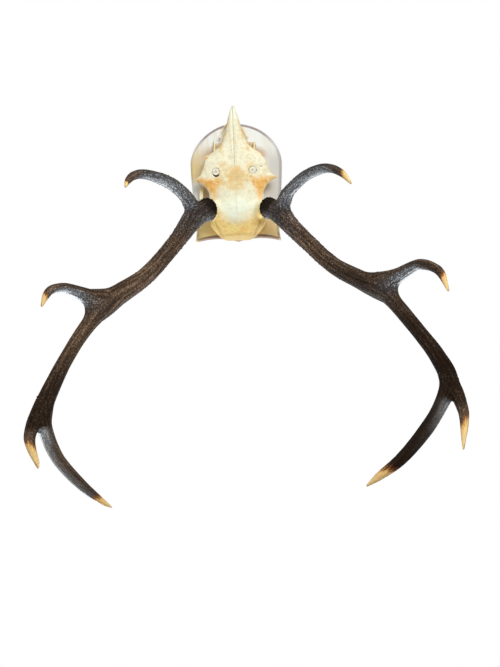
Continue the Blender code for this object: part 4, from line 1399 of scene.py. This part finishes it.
def wood_paint(settings):
    """Pale limed wood whose growth rings run through the board, tan towards its top corners, with
    painted shade on its rounded edge and painted shadow on its top, down its sides and beside the
    muzzle.
    """
    fixed = {"Coat Roughness": 0.3, "Specular IOR Level": 0.3}
    paint = Paint("limed_wood", fixed)
    place = paint.place()
    x, y, z = paint.parts(place)
    drift = paint.noise(paint.stretched(place, (1.0, 1.0, 0.16)), 14.0, 3.0)
    depth = paint.distance(x + 0.03, y - 0.16, 0.12 * z) + 0.016 * drift
    rings = paint.node("ShaderNodeMath", {"operation": "PINGPONG"}, {0: depth, 1: 0.0032})
    late = paint.rise(rings, 0.0006, 0.0030)
    fibre = paint.noise(paint.stretched(place, (1.0, 1.0, 0.03)), 900.0, 3.0, 0.6)
    pores = paint.rise(paint.noise(paint.stretched(place, (1.0, 1.0, 0.06)), 1500.0, 2.0), 0.60, 0.70)
    cloud = 0.02 * (paint.noise(place, 20.0, 2.0) - 0.5)
    rubbed = paint.noise(place, 60.0, 3.0)
    edge = paint.attribute("edge")
    # Tan towards the top corners
    above = paint.rise(z + cloud, 0.045, 0.105)
    # Painted shadow: darker tan on the animal's left of the face, between the arch and the burr
    side_shadow = paint.rise(x + cloud, 0.045, 0.085) * paint.rise(z, -0.105, -0.03)
    side_shadow = side_shadow * paint.rise(z + cloud, 0.010, -0.012)
    shadow = paint.rise(x, -0.05, -0.085) * paint.rise(z, -0.085, -0.04)
    # Painted lighter on the animal's left, to make up for the shade that falls on that corner
    tan_tone = paint.mix(paint.rise(x, 0.02, 0.08), settings.tan_tone, (1.0, 0.80, 0.37))
    colour = paint.layers(
        settings.wood,
        (0.22 * (1 - late), settings.grain),
        (0.22 * paint.rise(fibre, 0.4, 0.75), settings.grain),
        (0.2 * pores, [0.6 * c for c in settings.grain]),
        (0.65 * shadow, (0.50, 0.47, 0.42)),
        (side_shadow, [0.74 * c for c in settings.tan_tone]),
        (above, tan_tone),
    )
    # Painted shadow on the wood beside the muzzle
    for across, along, radius in MUZZLE_SHADOWS_MM:
        away = ((x - across * MM) * (1 / (radius * MM)), 0, (z - along * MM) * (1 / (radius * MM)))
        muzzle_shadow = paint.rise(paint.distance(*away) + 0.4 * (rubbed - 0.5), 1.0, 0.2)
        colour = paint.mix(0.8 * muzzle_shadow, colour, settings.muzzle_shadow)
    # Painted shade on the rounded edge: full round the arch, weaker down the animal's right side, none
    # down its left side
    edge_shade = paint.rise(edge, 0.02, 0.2) * (0.75 + 0.4 * rubbed)
    edge_shade = edge_shade * paint.rise(x, 0.10, 0.06) * paint.blend(paint.rise(x, -0.055, -0.085), 1.0, 0.45)
    # Painted shadow on the top of the board's rounded edge
    top_edge_shadow = paint.rise(z, 0.112, 0.118) * paint.rise(edge, 0.15, 0.5)
    top_edge_shadow = top_edge_shadow * paint.rise(abs(x), 0.092, 0.088)
    bare = paint.mix(0.5 * late, (0.50, 0.35, 0.19), (0.64, 0.49, 0.31))
    colour = paint.layers(
        colour,
        (edge_shade, settings.edge),
        (0.85 * top_edge_shadow, (0.28, 0.15, 0.075)),
        (paint.rise(y, -0.0012, -0.0004), bare),
    )
    return paint.finish({
        "Base Color": colour,
        "Roughness": 0.36 + 0.16 * fibre,
        "Coat Weight": 0.25 * (1 - paint.rise(edge, 0.0, 0.2)),
        "Normal": paint.bump(fibre - 0.7 * pores - 0.4 * late, 0.0003, 0.3),
    })


class TROPHY_OT_shield(bpy.types.Operator):
    """Cut the wooden shield with its rounded edge and hanging slot"""

    bl_idname = "trophy.shield"
    bl_label = "Shield"

    def execute(self, context):
        settings = context.scene.trophy_shield
        keep(shield_board(settings), wood_paint(settings), "shield_wood", "shield")
        return {"FINISHED"}


SCREW_SIDES = 48
SCREW_TIP = 9 * MM
# How far the head stays off its seat in the bone
HEAD_GAP = 0.4 * MM
# How far from the wall the thread ends, and how many rings make one turn of it
THREAD_END = 46 * MM
THREAD_STEPS = 8
# The thread's depth and the plain shank's radius, as shares of the radius over the thread
THREAD_DEPTH = 0.26
SHANK_SHARE = 0.82
HEAD_STEPS = 8
# The cross recess: depth, half-length and half-width of its arms, and how each screw was left
RECESS_DEPTH = 1.4 * MM
RECESS_ARM = (3.6 * MM, 0.7 * MM)
RECESS_DEGREES = {"left_screw": 22, "right_screw": -9}


def screw_body(name, settings):
    """A pan-head wood screw: cross recess, shank and thread."""
    x, z = (value * MM for value in SCREW_PLACES_MM[name])
    seat = SCREW_SEAT + HEAD_GAP
    head, rise, shank = settings.head_radius, settings.head_height, settings.shank_radius
    bm = bmesh.new()
    rings = []

    def ring(out, radius, groove=0.0):
        """A ring at a distance from the wall, with the thread's groove cut into it."""
        corners = []
        for k in range(SCREW_SIDES):
            angle = TURN * k / SCREW_SIDES
            phase = (out / settings.pitch + angle / TURN) % 1.0
            reach = radius - groove * (1 - abs(2 * phase - 1)) ** 1.5
            place = (x + reach * math.cos(angle), -out, z + reach * math.sin(angle))
            corners.append(bm.verts.new(place))
        rings.append(corners)

    steps = int((THREAD_END - SCREW_TIP) / settings.pitch * THREAD_STEPS)
    for k in range(steps + 1):
        out = SCREW_TIP + (THREAD_END - SCREW_TIP) * k / steps
        full = min(1.0, 0.15 + (out - SCREW_TIP) / (6 * MM))
        ring(out, shank * full, THREAD_DEPTH * shank * full)
    ring(THREAD_END + 1.5 * MM, SHANK_SHARE * shank)
    ring(seat - 1 * MM, SHANK_SHARE * shank)
    ring(seat, shank)
    ring(seat, 0.93 * head)
    ring(seat + 0.12 * rise, head)
    for k in range(HEAD_STEPS + 1):
        angle = math.pi / 2 * k / HEAD_STEPS
        ring(seat + rise * (0.62 + 0.38 * math.sin(angle)), head * (0.70 + 0.30 * math.cos(angle)))
    bridge(bm, rings)
    body = mesh_object(name + "_steel", bm, 35)
    floor = seat + rise - RECESS_DEPTH
    wide, thin = RECESS_ARM
    cross = [(thin, wide), (thin, thin), (wide, thin), (wide, -thin), (thin, -thin), (thin, -wide)]
    cross += [(-a, -b) for a, b in cross]
    turned = Matrix.Rotation(math.radians(RECESS_DEGREES[name]), 2)
    corners = [Vector((x, z)) + turned @ Vector(corner) for corner in cross]
    cutter = cut(body, prism([(c.x, c.y) for c in corners], floor, floor + 6 * MM))
    whole = finished(body, [cutter])
    whole.data.transform(LEAN.to_4x4())
    return whole


def steel_paint():
    """Bright zinc, a little dulled where it is dirty, with painted shade in the recess and round the rim
    of the head.
    """
    paint = Paint("zinc_steel", {"Metallic": 0.1})
    place = paint.place()
    cloud = paint.noise(place, 500.0, 3.0)
    dirt = paint.rise(paint.noise(place, 900.0, 3.0), 0.52, 0.7)
    top = -(SCREW_SEAT + 3.4 * MM)
    # Painted shade in the recess and round the rim of the head
    recess_shade = paint.rise(paint.parts(place)[1], top + 0.1 * MM, top + 1.0 * MM)
    colour = paint.layers(
        (0.90, 0.86, 0.68), (0.35 * dirt, (0.52, 0.44, 0.28)), (0.45 * recess_shade, (0.34, 0.29, 0.17))
    )
    bump = paint.bump(cloud, 0.0002, 0.3)
    return paint.finish({"Base Color": colour, "Roughness": 0.3 + 0.3 * cloud, "Normal": bump})


class TROPHY_OT_screws(bpy.types.Operator):
    """Turn the two screws that hold the skull on the shield"""

    bl_idname = "trophy.screws"
    bl_label = "Screws"

    def execute(self, context):
        settings = context.scene.trophy_screws
        for name in SCREW_PLACES_MM:
            keep(screw_body(name, settings), steel_paint(), "screw_steel", name)
        return {"FINISHED"}


# The camera looks straight at the wall, turned upside down as the picture is and rolled a little
CAMERA_PLACE = (-0.0200, -1.8, 0.3376)
CAMERA_ROLL = math.radians(1.5)
CAMERA_LENS = 43.34
FLOOR_RADIUS = 1.6
FLOOR_MIDDLE_Y = -0.3
SOFT_LIGHT = ((1.0, 0.95, 0.87), 0.28)
COOL = (0.93, 0.96, 1.0)
BLUE = (0.84, 0.92, 1.0)
# Each light's place, what it faces, its width and height, colour, and whether shiny pieces mirror it
LIGHTS = {
    "window": ((-0.48, -1.95, -0.65), (0, -0.05, 0), (0.9, 0.9), COOL, False),
    "sky": ((-0.1, 0.75, 1.25), (0.1, -0.3, 0.15), (2.2, 1.0), BLUE, True),
    "side": ((1.35, -0.2, 1.2), (0.2, -0.3, 0.2), (1.0, 1.0), BLUE, True),
}


def hang_light(name, strength):
    """A soft panel of light that the camera doesn't see."""
    place, target, across, colour, mirrored = LIGHTS[name]
    data = bpy.data.lights.new(name, "AREA")
    data.shape = "RECTANGLE"
    data.size, data.size_y = across
    data.energy = strength
    data.color = colour
    lamp = link(name, data)
    lamp.location = place
    lamp.rotation_euler = (Vector(target) - Vector(place)).to_track_quat("-Z", "Y").to_euler()
    lamp.visible_camera = False
    lamp.visible_glossy = mirrored


def lay_floor(drop):
    """A plain pale round floor."""
    bm = bmesh.new()
    bmesh.ops.create_circle(bm, cap_ends=True, segments=96, radius=FLOOR_RADIUS)
    bmesh.ops.translate(bm, verts=bm.verts, vec=(0, FLOOR_MIDDLE_Y, -drop))
    floor = mesh_object("floor", bm, 30)
    for polygon in floor.data.polygons:
        if polygon.normal.z < 0:
            polygon.flip()
    paint = Paint("pale_floor", {"Roughness": 0.7})
    cloud = paint.noise(paint.place(), 3.0, 3.0)
    tone = paint.mix(cloud, (0.80, 0.79, 0.77), (0.86, 0.85, 0.83))
    floor.data.materials.append(paint.finish({"Base Color": tone}))


def surround(scene):
    """Surroundings that the camera sees as white and that light the trophy softly and warmly."""
    scene.world = bpy.data.worlds.new("studio")
    scene.world.use_nodes = True
    tree = scene.world.node_tree
    soft = tree.nodes["Background"]
    for name, value in zip(("Color", "Strength"), SOFT_LIGHT):
        plug(tree, soft.inputs[name], value)
    white = {"Color": (1.0, 1.0, 1.0), "Strength": 1.0}
    bright = make_node(tree, "ShaderNodeBackground", {}, white)
    seen = make_node(tree, "ShaderNodeLightPath", {}, {}).outputs["Is Camera Ray"]
    either = {0: seen, 1: soft.outputs[0], 2: bright.outputs[0]}
    mixed = make_node(tree, "ShaderNodeMixShader", {}, either)
    plug(tree, tree.nodes["World Output"].inputs[0], mixed.outputs[0])


def set_up_camera(scene):
    """The camera at the photograph's viewing angle, with colours shown as they are."""
    data = bpy.data.cameras.new("camera")
    data.sensor_width = 36.0
    data.lens = CAMERA_LENS
    camera = link("camera", data)
    cos, sin = math.cos(CAMERA_ROLL), math.sin(CAMERA_ROLL)
    turn = Matrix(((-cos, -sin, 0), (0, 0, -1), (sin, -cos, 0))).to_4x4()
    camera.matrix_world = Matrix.Translation(CAMERA_PLACE) @ turn
    scene.camera = camera
    scene.view_settings.view_transform = "Standard"
    scene.view_settings.look = "None"


class TROPHY_OT_stage(bpy.types.Operator):
    """Set out the floor, the lights, the surroundings and the camera"""

    bl_idname = "trophy.stage"
    bl_label = "Floor, lights and camera"

    def execute(self, context):
        settings = context.scene.trophy_stage
        lay_floor(settings.floor_drop)
        surround(context.scene)
        for name in LIGHTS:
            hang_light(name, getattr(settings, f"{name}_power"))
        set_up_camera(context.scene)
        return {"FINISHED"}


class TROPHY_PT_panel(bpy.types.Panel):
    """Every part of the trophy, with the sizes and colours that it takes"""

    bl_label = "Trophy"
    bl_idname = "TROPHY_PT_panel"
    bl_space_type = "VIEW_3D"
    bl_region_type = "UI"
    bl_category = "Trophy"

    def draw(self, context):
        for operator, group, _ in STEPS:
            box = self.layout.box()
            box.operator(operator.bl_idname)
            settings = getattr(context.scene, group)
            for name in settings.__annotations__:
                box.prop(settings, name)


# Each operator in order, with its settings' name and group
STEPS = (
    (TROPHY_OT_antlers, "trophy_antlers", AntlerSettings),
    (TROPHY_OT_skull, "trophy_skull", SkullSettings),
    (TROPHY_OT_shield, "trophy_shield", ShieldSettings),
    (TROPHY_OT_screws, "trophy_screws", ScrewSettings),
    (TROPHY_OT_stage, "trophy_stage", StageSettings),
)
CLASSES = (*(group for _, _, group in STEPS), *(step[0] for step in STEPS), TROPHY_PT_panel)


def register():
    for cls in CLASSES:
        bpy.utils.register_class(cls)
    for _, name, group in STEPS:
        setattr(bpy.types.Scene, name, PointerProperty(type=group))


def unregister():
    for _, name, _ in STEPS:
        delattr(bpy.types.Scene, name)
    for cls in reversed(CLASSES):
        bpy.utils.unregister_class(cls)


def main():
    register()
    for operator, _, _ in STEPS:
        group, name = operator.bl_idname.split(".")
        getattr(getattr(bpy.ops, group), name)()


if __name__ == "__main__":
    main()
